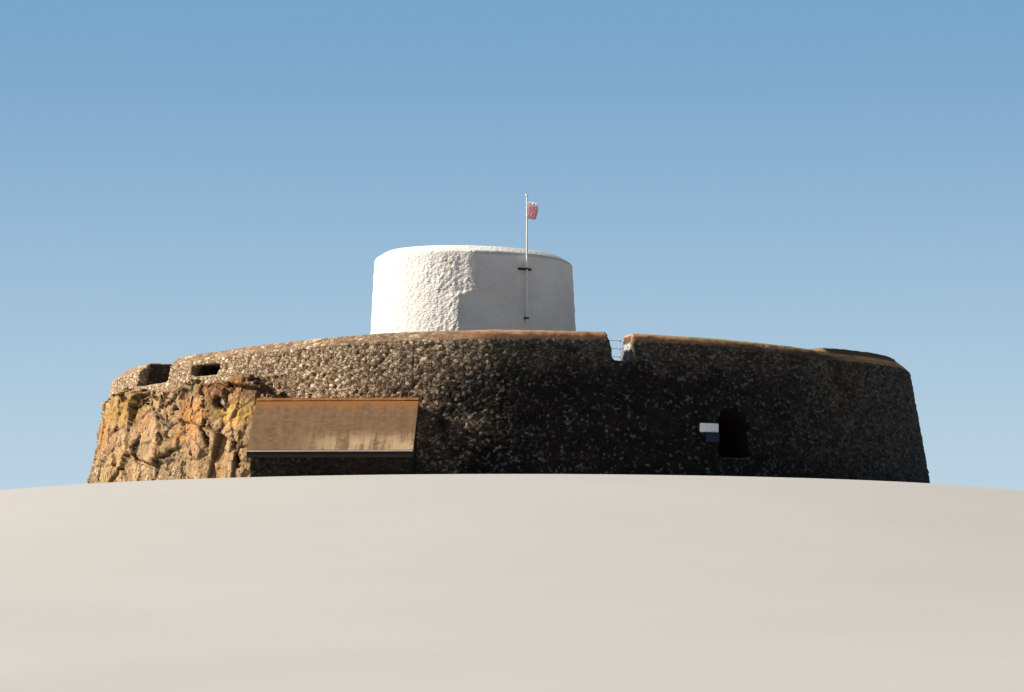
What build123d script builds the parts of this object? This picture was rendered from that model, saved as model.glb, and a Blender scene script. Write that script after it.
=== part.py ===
from build123d import *
from math import asin, atan2, cos, degrees, pi, radians, sin, sqrt
import os

# A round gun tower of the early nineteenth century, inside its own round rampart wall, with a small store
# built against the wall's foot and natural rock built into the wall. The whole fort is about 45 m across,
# so this is a model at half the real size: every length below is half the real one, in millimetres.
# Origin: on the level base, at the centre of the rampart ring. -Y faces the side with the store and the gate.
# Azimuths are degrees about +Z, counted from -Y towards +X.
# Round walls are built in short straight runs, as masons set them out with a line.

# The rampart ring
ring_foot_radius = 11150.0
ring_batter = 0.166
rampart_foot_thickness = 2750.0
walk_height = 2450.0
courtyard_height = 600.0
ring_sides = 120
least_run = 0.01
flat_within = 0.00001

# The parapet on the rampart and its sloping coping. Its masonry rises and falls round the ring: each step
# is added to the rise at the front, between the azimuths given.
parapet_foot_thickness = 1090.0
coping_rise = 235.0
coping_set_back = 280.0
inner_ridge_rise = 110.0
inner_ridge_set_back = 55.0
parapet_rise = 895.0
parapet_step_by_azimuth = {-120: -195, -90: -225, -60: -275, -42: -235, -16: -45, 0: 0, 15: -35, 31: -90,
                           51: -180, 90: 55, 120: 55, 180: -45, 240: -195}

# The gate through the rampart
gate_azimuth = 31.0
gate_width = 875.0
gate_spring_height = 1350.0
arch_depth = 240.0
arch_ring_proud = 35.0

# Gun embrasures, open at the top, splayed outwards
embrasure_azimuths = (-120.0, -54.8, 120.0, 180.0)
embrasure_sill_rise = 240.0
embrasure_outer_width = 1750.0
embrasure_inner_width = 1250.0

# A long low slot through the parapet, with a lintel over it
slot_azimuth = -42.0
slot_width = 1000.0
slot_sill_rise = 290.0
lintel_depth = 95.0
lintel_bearing = 150.0

# A narrow notch in the parapet, closed by a railing
notch_azimuth = 16.5
notch_sill_rise = 395.0
notch_top_width = 610.0
notch_sill_width = 480.0
railing_height = 580.0
railing_post_side = 24.0
railing_rail_side = 18.0
railing_rail_count = 3
railing_inset = 90.0

# The tower, round and battered, off the ring's centre. Its top falls a little to the right.
tower_x = -1040.0
tower_y = 0.0
tower_face_height = 6480.0
tower_top_fall = 70.0
tower_top_radius = 2665.0
tower_batter = 0.05
tower_sides = 48
tower_coping_rise = 175.0
tower_coping_set_back = 285.0
tower_parapet_thickness = 615.0
tower_parapet_height = 730.0
tower_platform_thickness = 150.0
ground_room_radius = 1400.0
floor_seat = 100.0
vault_seat = 150.0
first_floor_height = 2600.0
first_floor_thickness = 150.0
vault_crown_thickness = 300.0
vault_rise = 1100.0
vault_rings = 5

# The tower's raised doorway
door_azimuth = 35.5
door_width = 500.0
door_spring_rise = 750.0
door_leaf_thickness = 50.0
door_leaf_set_back = 350.0

# The store against the rampart's foot
store_left_x = -5480.0
store_length = 3780.0
store_ridge_inset = 200.0
store_ridge_height = 1900.0
store_roof_reach = 1750.0
store_eave_height = 600.0
store_verge = 60.0
store_eave_overhang = 100.0
store_wall_thickness = 250.0
store_roof_thickness = 90.0
store_floor_thickness = 75.0
ridge_cap_width = 180.0
ridge_cap_rise = 40.0
eave_board_height = 60.0
eave_board_thickness = 25.0

# The natural rock in the rampart's foot
rock_start_azimuth = -88.0
rock_end_azimuth = -28.5
rock_crag_count = 8
rock_height = 2660.0
rock_proud = 330.0
rock_taper = 5.0
crag_overlap = 1.25
crag_start_shoulder = 0.55
crag_end_shoulder = 0.50

# Each crag differs by (usual share, swing, turn of the swing from crag to crag)
crag_middle_swing = (0.45, 0.15, 2.3)
crag_proud_swing = (0.80, 0.20, 1.9)
crag_height_swing = (0.97, 0.03, 2.7)

# The flagpole on the tower's face. It and its brackets are set out from the top of the tower's masonry.
pole_azimuth = 33.0
pole_radius = 30.0
pole_head_share = 0.6
pole_sides = 12
pole_rise = 1510.0
pole_foot_drop = 1920.0
pole_clearance = 25.0
pole_truck_radius = 45.0
lower_bracket_drop = 1780.0
lower_bracket_width = 140.0
upper_bracket_drop = 480.0
upper_bracket_width = 400.0
bracket_depth = 80.0
bracket_plate = 16.0
flag_drop = 450.0
flag_spread = 250.0
flag_thickness = 60.0
flag_top_below_head = 150.0

# Two bare boards beside the gate
board_gap = 25.0
board_proud = 70.0
board_spacing = 10.0
notice_board_width = 500.0
notice_board_height = 212.0
lower_board_width = 375.0
lower_board_foot = 950.0
lower_board_height = 225.0

# Where one run of the rampart and of the parapet ends and the next begins
rampart_azimuths = {
    "left": (-99.0, -33.0),
    "front": (-33.0, 9.0),
    "gate_left": (9.0, gate_azimuth),
    "gate_right": (gate_azimuth, 60.0),
    "right": (60.0, 126.0),
    "back": (126.0, 195.0),
    "back_left": (195.0, 261.0),
}
parapet_azimuths = {
    "left": (-120.0, -54.0),
    "slot_left_pier": (-54.0, slot_azimuth),
    "slot_right_pier": (slot_azimuth, -21.0),
    "front": (-21.0, notch_azimuth),
    "gate": (notch_azimuth, 51.0),
    "right": (51.0, 120.0),
    "back_right": (120.0, 180.0),
    "back_left": (180.0, 240.0),
}
coping_azimuths = {
    "left": (-120.0, -54.0),
    "front_left": (-54.0, -21.0),
    "front": (-21.0, notch_azimuth),
    "gate": (notch_azimuth, 51.0),
    "right": (51.0, 120.0),
    "back_right": (120.0, 180.0),
    "back_left": (180.0, 240.0),
}
ridged_runs = ("right",)
tower_wall_azimuths = {
    "front": (-7.5, 82.5),
    "right": (82.5, 172.5),
    "back": (172.5, 262.5),
    "left": (262.5, 352.5),
}
tower_half_azimuths = {"front": (-90.0, 90.0), "back": (90.0, 270.0)}

# Sizes that follow from those above
rampart_inner_radius = ring_foot_radius - rampart_foot_thickness
parapet_inner_radius = ring_foot_radius - ring_batter * walk_height - parapet_foot_thickness
embrasure_sill_height = walk_height + embrasure_sill_rise
slot_sill_height = walk_height + slot_sill_rise
notch_sill_height = walk_height + notch_sill_rise
over_ring = walk_height + 2 * parapet_rise + coping_rise
beyond_ring = ring_foot_radius + 2 * rock_proud
head_half_width = gate_width / 2 + arch_depth
tower_platform_height = tower_face_height - tower_parapet_height
platform_foot = tower_platform_height - tower_platform_thickness
vault_spring_height = platform_foot - vault_crown_thickness - vault_rise
upper_room_radius = ground_room_radius + floor_seat
vault_radius = upper_room_radius + vault_seat
tower_parapet_inner_radius = tower_top_radius - tower_parapet_thickness
door_spring_height = first_floor_height + door_spring_rise


def ring_face_radius(z):
    return ring_foot_radius - ring_batter * z


def tower_face_radius(z):
    return tower_top_radius + tower_batter * (tower_face_height - z)


def wall_top(azimuth):
    """The height of the parapet's masonry at an azimuth, between the levels given round the ring."""
    steps = parapet_step_by_azimuth
    stops = sorted(steps)
    around = stops[0] + (azimuth - stops[0]) % 360
    for left, right in zip(stops, stops[1:]):
        if left <= around <= right:
            share = (around - left) / (right - left)
            return walk_height + parapet_rise + steps[left] + share * (steps[right] - steps[left])


def tower_top(azimuth):
    return tower_face_height - tower_top_fall * sin(radians(azimuth))


def from_axis(point):
    return sqrt(point.X**2 + point.Y**2)


def flat_faces(a, b, c, d):
    """One face through four corners. Where they don't lie in one plane it is two triangles, split from the
    outer of the first two corners, so that the pieces above and below a joint are split alike."""
    across = (b - a).cross(c - a).normalized()
    if abs(across.dot(d - a)) < flat_within:
        return [make_face(Polyline(a, b, c, d, close=True))]
    if from_axis(b) > from_axis(a):
        a, b, c, d = b, c, d, a
    return [make_face(Polyline(a, b, c, close=True)), make_face(Polyline(a, c, d, close=True))]


def run_of_wall(section_at, start, end, sides):
    """A wall whose (radius, height) section follows the azimuth, built in straight runs from start to end."""
    step = 360 / sides
    between = [step * number for number in range(-sides, 2 * sides)
               if start + least_run < step * number < end - least_run]
    rings = []
    for azimuth in [start] + between + [end]:
        rings.append([Vector(radius * sin(radians(azimuth)), -radius * cos(radians(azimuth)), height)
                      for radius, height in section_at(azimuth)])
    faces = [make_face(Polyline(*ring, close=True)) for ring in (rings[0], rings[-1])]
    for here, there in zip(rings, rings[1:]):
        for corners in zip(here, here[1:] + here[:1], there[1:] + there[:1], there):
            faces += flat_faces(*corners)
    return Solid(Shell(faces))


def frustum(foot_radius, top_radius, foot, top, sides):
    """A many-sided drum, from one radius at its foot to another at its top."""
    lean = atan2((foot_radius - top_radius) * cos(pi / sides), top - foot)
    return extrude(Pos(0, 0, foot) * RegularPolygon(foot_radius, sides), top - foot, taper=degrees(lean))


def disc(radius, foot, top, sides):
    return frustum(radius, radius, foot, top, sides)


def turned(shape, azimuth):
    """A shape made on the -Y side, turned to its azimuth."""
    return Rot(0, 0, azimuth) * shape


def on_tower(shape):
    return Pos(tower_x, tower_y, 0) * shape


def upright_prism(points, foot, top):
    """A plan outline raised from one height to another."""
    plan = make_face(Polyline(*points, close=True))
    return extrude(Pos(0, 0, foot) * plan, top - foot)


def radial_bar(half_width, near, far, foot, top):
    """A bar that runs outwards on the -Y side, between two distances from the axis."""
    outline = ((-half_width, -near), (half_width, -near), (half_width, -far), (-half_width, -far))
    return upright_prism(outline, foot, top)


def arch_profile(width, foot, spring):
    """A doorway's outline in the XZ plane: straight sides and a half-round head."""
    half = width / 2
    sides = Polyline((half, spring), (half, foot), (-half, foot), (-half, spring))
    head = ThreePointArc((-half, spring), (0, spring + half), (half, spring))
    return Plane.XZ * make_face([sides, head])


# Rampart

ring_heart = frustum(ring_foot_radius, ring_face_radius(over_ring), 0, over_ring, ring_sides)
gate_void = turned(extrude(arch_profile(gate_width, 0, gate_spring_height), beyond_ring), gate_azimuth)
gate_head_box = turned(
    radial_bar(head_half_width, 0, beyond_ring, gate_spring_height, walk_height), gate_azimuth)


def rampart_section(azimuth):
    return (
        (rampart_inner_radius, 0),
        (ring_foot_radius, 0),
        (ring_face_radius(walk_height), walk_height),
        (rampart_inner_radius, walk_height),
    )


def make_rampart(start, end):
    piece = run_of_wall(rampart_section, start, end, ring_sides)
    if gate_azimuth in (start, end):
        piece = piece - gate_void - gate_head_box
    return piece


def near_gate(section, half_width):
    reach = degrees(asin(half_width / rampart_inner_radius)) + 360 / ring_sides
    return run_of_wall(section, gate_azimuth - reach, gate_azimuth + reach, ring_sides)


def proud_section(azimuth):
    return (
        (rampart_inner_radius, 0),
        (ring_foot_radius + arch_ring_proud, 0),
        (ring_face_radius(walk_height) + arch_ring_proud, walk_height),
        (rampart_inner_radius, walk_height),
    )


def make_gate_arch():
    """The masonry over the gate, its ring of arch stones standing a little proud of the battered face."""
    outer = gate_width / 2 + arch_depth
    ring = (Circle(outer) - Circle(gate_width / 2)) & Pos(0, outer / 2) * Rectangle(2 * outer, outer)
    ring = turned(extrude(Plane.XZ * Pos(0, gate_spring_height) * ring, beyond_ring), gate_azimuth)
    body = near_gate(rampart_section, head_half_width) & gate_head_box
    return body + (near_gate(proud_section, head_half_width) & ring) - gate_void


def make_gate_threshold():
    slab = turned(radial_bar(gate_width / 2, 0, beyond_ring, 0, courtyard_height), gate_azimuth)
    return near_gate(rampart_section, gate_width / 2) & slab


def make_courtyard():
    """The made ground inside the rampart, flush with the gate's threshold."""
    return disc(rampart_inner_radius, 0, courtyard_height, ring_sides)


# Parapet

def embrasure_void(azimuth):
    outer = ring_face_radius(embrasure_sill_height)
    splay = (embrasure_outer_width - embrasure_inner_width) / 2 / (outer - parapet_inner_radius)
    spare = coping_set_back
    near = embrasure_inner_width / 2 - splay * spare
    far = embrasure_outer_width / 2 + splay * spare
    back = -(parapet_inner_radius - spare)
    front = -(outer + spare)
    outline = ((-near, back), (near, back), (far, front), (-far, front))
    return turned(upright_prism(outline, embrasure_sill_height, over_ring), azimuth)


def across_slot(half_width, foot, top):
    return turned(radial_bar(half_width, rampart_inner_radius, beyond_ring, foot, top), slot_azimuth)


slot_top_height = wall_top(slot_azimuth) - lintel_depth
lintel_half_length = slot_width / 2 + lintel_bearing
slot_bay = across_slot(slot_width / 2, walk_height, over_ring)
lintel_box = across_slot(lintel_half_length, slot_top_height, over_ring)


def notch_half_width(z):
    crest = wall_top(notch_azimuth) + coping_rise
    share = (z - notch_sill_height) / (crest - notch_sill_height)
    return (notch_sill_width + share * (notch_top_width - notch_sill_width)) / 2


def make_notch_void():
    at_sill = notch_half_width(notch_sill_height)
    above = notch_half_width(over_ring)
    outline = Polyline((-at_sill, notch_sill_height), (at_sill, notch_sill_height), (above, over_ring),
                       (-above, over_ring), close=True)
    return turned(extrude(Plane.XZ * make_face(outline), beyond_ring), notch_azimuth)


open_voids = [embrasure_void(azimuth) for azimuth in embrasure_azimuths] + [make_notch_void()]


def parapet_section(azimuth):
    top = wall_top(azimuth)
    return (
        (parapet_inner_radius, walk_height),
        (ring_face_radius(walk_height), walk_height),
        (ring_face_radius(top), top),
        (parapet_inner_radius, top),
    )


def coping_section(azimuth):
    top = wall_top(azimuth)
    face = ring_face_radius(top)
    return (
        (parapet_inner_radius, top),
        (face, top),
        (face - coping_set_back, top + coping_rise),
        (parapet_inner_radius, top + coping_rise),
    )


def ridged_coping_section(azimuth):
    """A coping with a raised ridge of masonry behind its slope."""
    inner_foot, outer_foot, crest, back = coping_section(azimuth)
    ridge_foot = crest[0] - inner_ridge_set_back
    ridge_top = crest[1] + inner_ridge_rise
    return (inner_foot, outer_foot, crest, (ridge_foot, crest[1]),
            (ridge_foot - inner_ridge_set_back, ridge_top), (parapet_inner_radius, ridge_top))


def without_voids(piece, voids):
    for void in voids:
        piece = piece - void
    return piece


def make_parapet(start, end):
    wall = run_of_wall(parapet_section, start, end, ring_sides)
    return without_voids(wall, open_voids + [slot_bay, lintel_box])


def make_coping(section, start, end):
    return without_voids(run_of_wall(section, start, end, ring_sides), open_voids)


def wall_at_slot():
    reach = degrees(asin(lintel_half_length / parapet_inner_radius)) + 360 / ring_sides
    return run_of_wall(parapet_section, slot_azimuth - reach, slot_azimuth + reach, ring_sides)


def make_slot_sill():
    """The low wall under the slot, between its two piers."""
    return wall_at_slot() & across_slot(slot_width / 2, walk_height, slot_sill_height)


def make_slot_lintel():
    """The lintel over the slot, with the wall's own face, bearing on the masonry at both ends."""
    return wall_at_slot() & lintel_box


def make_railing():
    """The safety rail that closes the notch, standing on its sill."""
    line_y = -(parapet_inner_radius + railing_inset)
    post_x = notch_sill_width / 2 - 2 * railing_post_side
    middle_height = notch_sill_height + railing_height / 2
    post = Box(railing_post_side, railing_post_side, railing_height)
    railing = Pos(-post_x, line_y, middle_height) * post
    railing += Pos(post_x, line_y, middle_height) * post
    for rail in range(railing_rail_count):
        rail_z = notch_sill_height + railing_height * (rail + 1) / railing_rail_count - railing_rail_side
        bar = Box(2 * notch_half_width(rail_z) - railing_rail_side, railing_rail_side, railing_rail_side)
        railing += Pos(0, line_y, rail_z) * bar
    return turned(railing, notch_azimuth)


# Tower

def tower_wall_section(azimuth):
    floor_foot = first_floor_height - first_floor_thickness
    return (
        (ground_room_radius, courtyard_height),
        (tower_face_radius(courtyard_height), courtyard_height),
        (tower_face_radius(platform_foot), platform_foot),
        (vault_radius, platform_foot),
        (vault_radius, vault_spring_height),
        (upper_room_radius, vault_spring_height),
        (upper_room_radius, floor_foot),
        (ground_room_radius, floor_foot),
    )


def tower_parapet_section(azimuth):
    top = tower_top(azimuth)
    return (
        (tower_parapet_inner_radius, platform_foot),
        (tower_face_radius(platform_foot), platform_foot),
        (tower_face_radius(top), top),
        (tower_parapet_inner_radius, top),
    )


def tower_coping_section(azimuth):
    top = tower_top(azimuth)
    face = tower_face_radius(top)
    return (
        (tower_parapet_inner_radius, top),
        (face, top),
        (face - tower_coping_set_back, top + tower_coping_rise),
        (tower_parapet_inner_radius, top + tower_coping_rise),
    )


def make_door_void():
    profile = arch_profile(door_width, first_floor_height, door_spring_height)
    return turned(extrude(profile, 2 * tower_top_radius), door_azimuth)


def make_tower_wall(start, end):
    return on_tower(run_of_wall(tower_wall_section, start, end, tower_sides) - make_door_void())


def make_tower_parapet(start, end):
    return on_tower(run_of_wall(tower_parapet_section, start, end, tower_sides))


def make_tower_door():
    """A plain boarded leaf, closed, set back in the doorway's reveal."""
    leaf = extrude(arch_profile(door_width, first_floor_height, door_spring_height), door_leaf_thickness)
    face = tower_face_radius(door_spring_height) - door_leaf_set_back
    return on_tower(turned(Pos(0, -(face - door_leaf_thickness), 0) * leaf, door_azimuth))


def make_first_floor():
    return on_tower(disc(upper_room_radius, first_floor_height - first_floor_thickness, first_floor_height,
                         tower_sides))


def make_vault():
    """The bomb-proof vault that carries the gun platform, domed underneath."""
    vault = disc(vault_radius, vault_spring_height, platform_foot, tower_sides)
    dome_radius = (upper_room_radius**2 + vault_rise**2) / (2 * vault_rise)
    dome_centre = vault_spring_height + vault_rise - dome_radius
    spring_angle = asin(upper_room_radius / dome_radius)
    angles = [spring_angle * (1 - number / vault_rings) for number in range(vault_rings)]
    for lower, upper in zip(angles, angles[1:]):
        foot = dome_centre + dome_radius * cos(lower)
        top = dome_centre + dome_radius * cos(upper)
        vault -= frustum(dome_radius * sin(lower), dome_radius * sin(upper), foot, top, tower_sides)
    return on_tower(vault)


def make_gun_platform():
    return on_tower(disc(tower_parapet_inner_radius, platform_foot, tower_platform_height, tower_sides))


def make_tower_coping():
    front, back = [run_of_wall(tower_coping_section, start, end, tower_sides)
                   for start, end in tower_half_azimuths.values()]
    return on_tower(front + back)


# Store

store_right_x = store_left_x + store_length
store_ridge_y = store_ridge_inset - ring_foot_radius
store_eave_y = store_ridge_y - store_roof_reach
store_slope = (store_ridge_height - store_eave_height) / store_roof_reach
roof_drop = store_roof_thickness * sqrt(1 + store_slope**2)
store_front_y = store_eave_y + store_eave_overhang
store_inner_left = store_left_x + store_verge
store_inner_right = store_right_x - store_verge
store_back_y = store_wall_thickness - sqrt(ring_face_radius(store_ridge_height) ** 2 - store_left_x**2)


def roof_height(y):
    return store_ridge_height - store_slope * abs(y - store_ridge_y)


def along_store(points, left, right):
    """A (y, height) outline carried along the store's length."""
    outline = Plane.YZ * make_face(Polyline(*points, close=True))
    return Pos(left, 0, 0) * extrude(outline, right - left)


def under_roof(front, back):
    """The store's cross-section under the roof, between two distances."""
    points = [(front, 0), (front, roof_height(front) - roof_drop)]
    if front < store_ridge_y < back:
        points.append((store_ridge_y, store_ridge_height - roof_drop))
    return points + [(back, roof_height(back) - roof_drop), (back, 0)]


def make_store_front_wall():
    back = store_front_y + store_wall_thickness
    return along_store(under_roof(store_front_y, back), store_inner_left, store_inner_right)


def make_store_floor():
    """Flags laid inside the store's walls."""
    front = store_front_y + store_wall_thickness
    outline = [(front, 0), (front, store_floor_thickness),
               (store_back_y, store_floor_thickness), (store_back_y, 0)]
    left = store_inner_left + store_wall_thickness
    right = store_inner_right - store_wall_thickness
    return along_store(outline, left, right) - ring_heart


def make_store_gable(left):
    """A gable wall from the front wall back to the rampart's battered face."""
    front = store_front_y + store_wall_thickness
    return along_store(under_roof(front, store_back_y), left, left + store_wall_thickness) - ring_heart


def roof_slab(near, far):
    points = [(near, roof_height(near)), (far, roof_height(far)),
              (far, roof_height(far) - roof_drop), (near, roof_height(near) - roof_drop)]
    return along_store(points, store_left_x, store_right_x)


def make_store_roof_front():
    return roof_slab(store_eave_y, store_ridge_y)


def make_store_roof_back():
    return roof_slab(store_ridge_y, store_back_y) - ring_heart


def make_ridge_cap():
    half = ridge_cap_width / 2
    foot = store_ridge_height - store_slope * half
    outline = [(store_ridge_y - half, foot), (store_ridge_y, store_ridge_height),
               (store_ridge_y + half, foot), (store_ridge_y + half, foot + ridge_cap_rise),
               (store_ridge_y, store_ridge_height + ridge_cap_rise),
               (store_ridge_y - half, foot + ridge_cap_rise)]
    return along_store(outline, store_left_x, store_right_x) - ring_heart


def make_eave_board():
    top = roof_height(store_eave_y) - roof_drop
    low_edge = top - eave_board_height
    back = store_eave_y + eave_board_thickness
    outline = [(store_eave_y, low_edge), (store_eave_y, top),
               (back, top + store_slope * eave_board_thickness), (back, low_edge)]
    return along_store(outline, store_left_x, store_right_x)


def store_envelope():
    points = [(store_eave_y, 0), (store_eave_y, store_eave_height),
              (store_ridge_y, store_ridge_height + ridge_cap_rise),
              (store_back_y, roof_height(store_back_y) + ridge_cap_rise), (store_back_y, 0)]
    return along_store(points, store_left_x, store_right_x)


# Rock

def make_crag(index):
    """One crag of the rock: an uneven block against the wall, narrower towards its top."""
    step = (rock_end_azimuth - rock_start_azimuth) / rock_crag_count
    start = rock_start_azimuth + step * index
    share, reach, turn = crag_middle_swing
    middle = start + step * (share + reach * sin(turn * index))
    end = start + step * crag_overlap
    share, reach, turn = crag_proud_swing
    proud = rock_proud * (share + reach * cos(turn * index))
    share, reach, turn = crag_height_swing
    height = rock_height * (share + reach * sin(turn * index))
    inner = ring_face_radius(height) - rock_proud
    outline = [(start, inner), (start, ring_foot_radius + crag_start_shoulder * proud),
               (middle, ring_foot_radius + proud), (end, ring_foot_radius + crag_end_shoulder * proud), (end, inner)]
    corners = [(radius * sin(radians(azimuth)), -radius * cos(radians(azimuth)))
               for azimuth, radius in outline]
    return extrude(make_face(Polyline(*corners, close=True)), height, taper=rock_taper)


def make_rock():
    rock = make_crag(0)
    for index in range(1, rock_crag_count):
        rock = rock + make_crag(index)
    return rock - ring_heart - store_envelope()


# Flagpole

pole_foot_height = tower_face_height - pole_foot_drop
pole_top_height = tower_face_height + pole_rise
pole_head_height = pole_top_height - pole_truck_radius
pole_stand_off = tower_face_radius(pole_foot_height) + pole_clearance + pole_radius


def pole_radius_at(z):
    share = (z - pole_foot_height) / (pole_head_height - pole_foot_height)
    return pole_radius * (1 - (1 - pole_head_share) * share)


def on_pole(shape):
    return on_tower(turned(Pos(0, -pole_stand_off, 0) * shape, pole_azimuth))


def make_flagpole():
    """A slim tapering pole with a round truck at its head."""
    head_radius = pole_radius_at(pole_head_height)
    shaft = frustum(pole_radius, head_radius, pole_foot_height, pole_head_height, pole_sides)
    return on_pole(shaft + disc(pole_truck_radius, pole_head_height, pole_top_height, pole_sides))


def make_bracket(drop, width):
    """An iron strap across the tower's face with an arm and a collar round the pole."""
    foot = tower_face_height - drop
    top = foot + bracket_depth
    radius = tower_face_radius(foot)
    strap = radial_bar(width / 2, radius / 2, radius + bracket_plate, foot, top)
    arm = radial_bar(bracket_plate, radius / 2, pole_stand_off, foot, top)
    collar = Pos(0, -pole_stand_off, 0) * disc(pole_radius_at(foot) + bracket_plate, foot, top, pole_sides)
    wall = frustum(radius, tower_face_radius(top), foot, top, tower_sides)
    return on_tower(turned(strap + arm + collar, pole_azimuth) - wall) - make_flagpole()


def make_flag():
    """The flag as it hangs limp beside the pole, as one plain closed solid."""
    top = pole_head_height - flag_top_below_head
    near = pole_radius_at(top - flag_drop)
    outline = ((near, -flag_thickness / 2), (near + flag_spread, -flag_thickness / 2),
               (near + flag_spread, flag_thickness / 2), (near, flag_thickness / 2))
    return on_pole(upright_prism(outline, top - flag_drop, top))


notice_board_foot = lower_board_foot + lower_board_height + board_spacing


def make_board(width, foot, height):
    """A bare board on the wall's face, beside the gate's left jamb."""
    face = ring_face_radius(foot) + board_proud
    azimuth = gate_azimuth - degrees((gate_width / 2 + board_gap + width / 2) / ring_face_radius(foot))
    board = turned(radial_bar(width / 2, face / 2, face, foot, foot + height), azimuth)
    return board - ring_heart - make_gate_arch()


# The pieces, by name

pieces = {
    "gate_arch": make_gate_arch(),
    "gate_threshold": make_gate_threshold(),
    "courtyard": make_courtyard(),
    "slot_sill": make_slot_sill(),
    "slot_lintel": make_slot_lintel(),
    "notch_railing": make_railing(),
    "tower_door": make_tower_door(),
    "tower_first_floor": make_first_floor(),
    "tower_vault": make_vault(),
    "tower_gun_platform": make_gun_platform(),
    "tower_coping": make_tower_coping(),
    "store_front_wall": make_store_front_wall(),
    "store_floor": make_store_floor(),
    "store_left_gable": make_store_gable(store_inner_left),
    "store_right_gable": make_store_gable(store_inner_right - store_wall_thickness),
    "store_roof_front": make_store_roof_front(),
    "store_roof_back": make_store_roof_back(),
    "store_ridge_cap": make_ridge_cap(),
    "store_eave_board": make_eave_board(),
    "rock_face": make_rock(),
    "flagpole": make_flagpole(),
    "flag": make_flag(),
    "pole_lower_bracket": make_bracket(lower_bracket_drop, lower_bracket_width),
    "pole_upper_bracket": make_bracket(upper_bracket_drop, upper_bracket_width),
    "notice_board": make_board(notice_board_width, notice_board_foot, notice_board_height),
    "lower_board": make_board(lower_board_width, lower_board_foot, lower_board_height),
}
for run, (start, end) in rampart_azimuths.items():
    pieces["rampart_" + run] = make_rampart(start, end)
for run, (start, end) in parapet_azimuths.items():
    pieces["parapet_" + run] = make_parapet(start, end)
for run, (start, end) in coping_azimuths.items():
    section = ridged_coping_section if run in ridged_runs else coping_section
    pieces["coping_" + run] = make_coping(section, start, end)
for quarter, (start, end) in tower_wall_azimuths.items():
    pieces["tower_wall_" + quarter] = make_tower_wall(start, end)
for half, (start, end) in tower_half_azimuths.items():
    pieces["tower_parapet_" + half] = make_tower_parapet(start, end)

os.makedirs("parts", exist_ok=True)
for name, shape in pieces.items():
    export_step(shape, "parts/" + name + ".step")
print(len(pieces), "pieces")
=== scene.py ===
# %% [markdown]
# # A round gun tower inside its rampart ring
# The fort is a white tower of limewashed rubble that stands in a low, wide ring of battered rubble wall.
# A store leans against the ring's foot, and natural rock is built into it at the left. This file dresses
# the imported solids: every wall gets real stones in relief, the rock gets its cracks, the store its slates.
# The model is half the real size, in metres, with -Y towards the viewer.

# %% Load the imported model
import math
import random

import bmesh
import bpy
import numpy as np
from mathutils import Matrix, Vector
from mathutils.bvhtree import BVHTree


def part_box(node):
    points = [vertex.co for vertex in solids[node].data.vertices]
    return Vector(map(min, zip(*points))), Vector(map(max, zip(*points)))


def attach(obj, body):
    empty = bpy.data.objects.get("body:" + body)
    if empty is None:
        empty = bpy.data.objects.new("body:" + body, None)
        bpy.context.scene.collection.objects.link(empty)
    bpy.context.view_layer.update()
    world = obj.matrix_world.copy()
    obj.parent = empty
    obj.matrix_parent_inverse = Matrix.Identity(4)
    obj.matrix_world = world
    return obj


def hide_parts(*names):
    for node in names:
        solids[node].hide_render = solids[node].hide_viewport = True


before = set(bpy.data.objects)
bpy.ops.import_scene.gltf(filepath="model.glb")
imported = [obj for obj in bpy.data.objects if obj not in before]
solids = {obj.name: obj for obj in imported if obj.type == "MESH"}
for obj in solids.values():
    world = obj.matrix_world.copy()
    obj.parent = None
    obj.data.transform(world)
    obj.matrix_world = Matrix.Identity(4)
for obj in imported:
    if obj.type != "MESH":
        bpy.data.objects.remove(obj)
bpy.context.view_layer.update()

# %% [markdown]
# ## Sizes that the whole scene shares
# The solids already hold every size, so most are read from their boxes. The tower's axis is the middle of
# its gun platform, and the walk on the wall is where the rampart's runs end. Only what a box can't tell is
# written down: how far the ring leans in for each metre that it rises, the inner faces of its rampart and
# its parapet, and the azimuths of the gate, the notch and the pole, in degrees from -Y towards +X.

# %% Read sizes from the solids
ring_radius = -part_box("rampart_front")[0].y
walk_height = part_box("rampart_front")[1].z
courtyard_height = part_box("courtyard")[1].z
platform_low, platform_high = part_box("tower_gun_platform")
tower_axis = (platform_low + platform_high) / 2
ring_batter = 0.166
rampart_inner_radius = 8.4
parapet_inner_radius = 9.653
gate_azimuth = 31.0
notch_azimuth = 16.5
pole_azimuth = 33.0
print("ring radius", round(ring_radius, 3), "walk", round(walk_height, 3), "tower axis", tuple(tower_axis))

# %% [markdown]
# ## Shader maths as plain Python
# Materials and geometry nodes are both graphs of nodes. A small class wraps a socket, so that an expression
# such as `1 - mask * 0.5` adds the Math nodes it needs. Everything else goes through one method that adds a
# node from its type, its settings and the values or links of its sockets.

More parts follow.
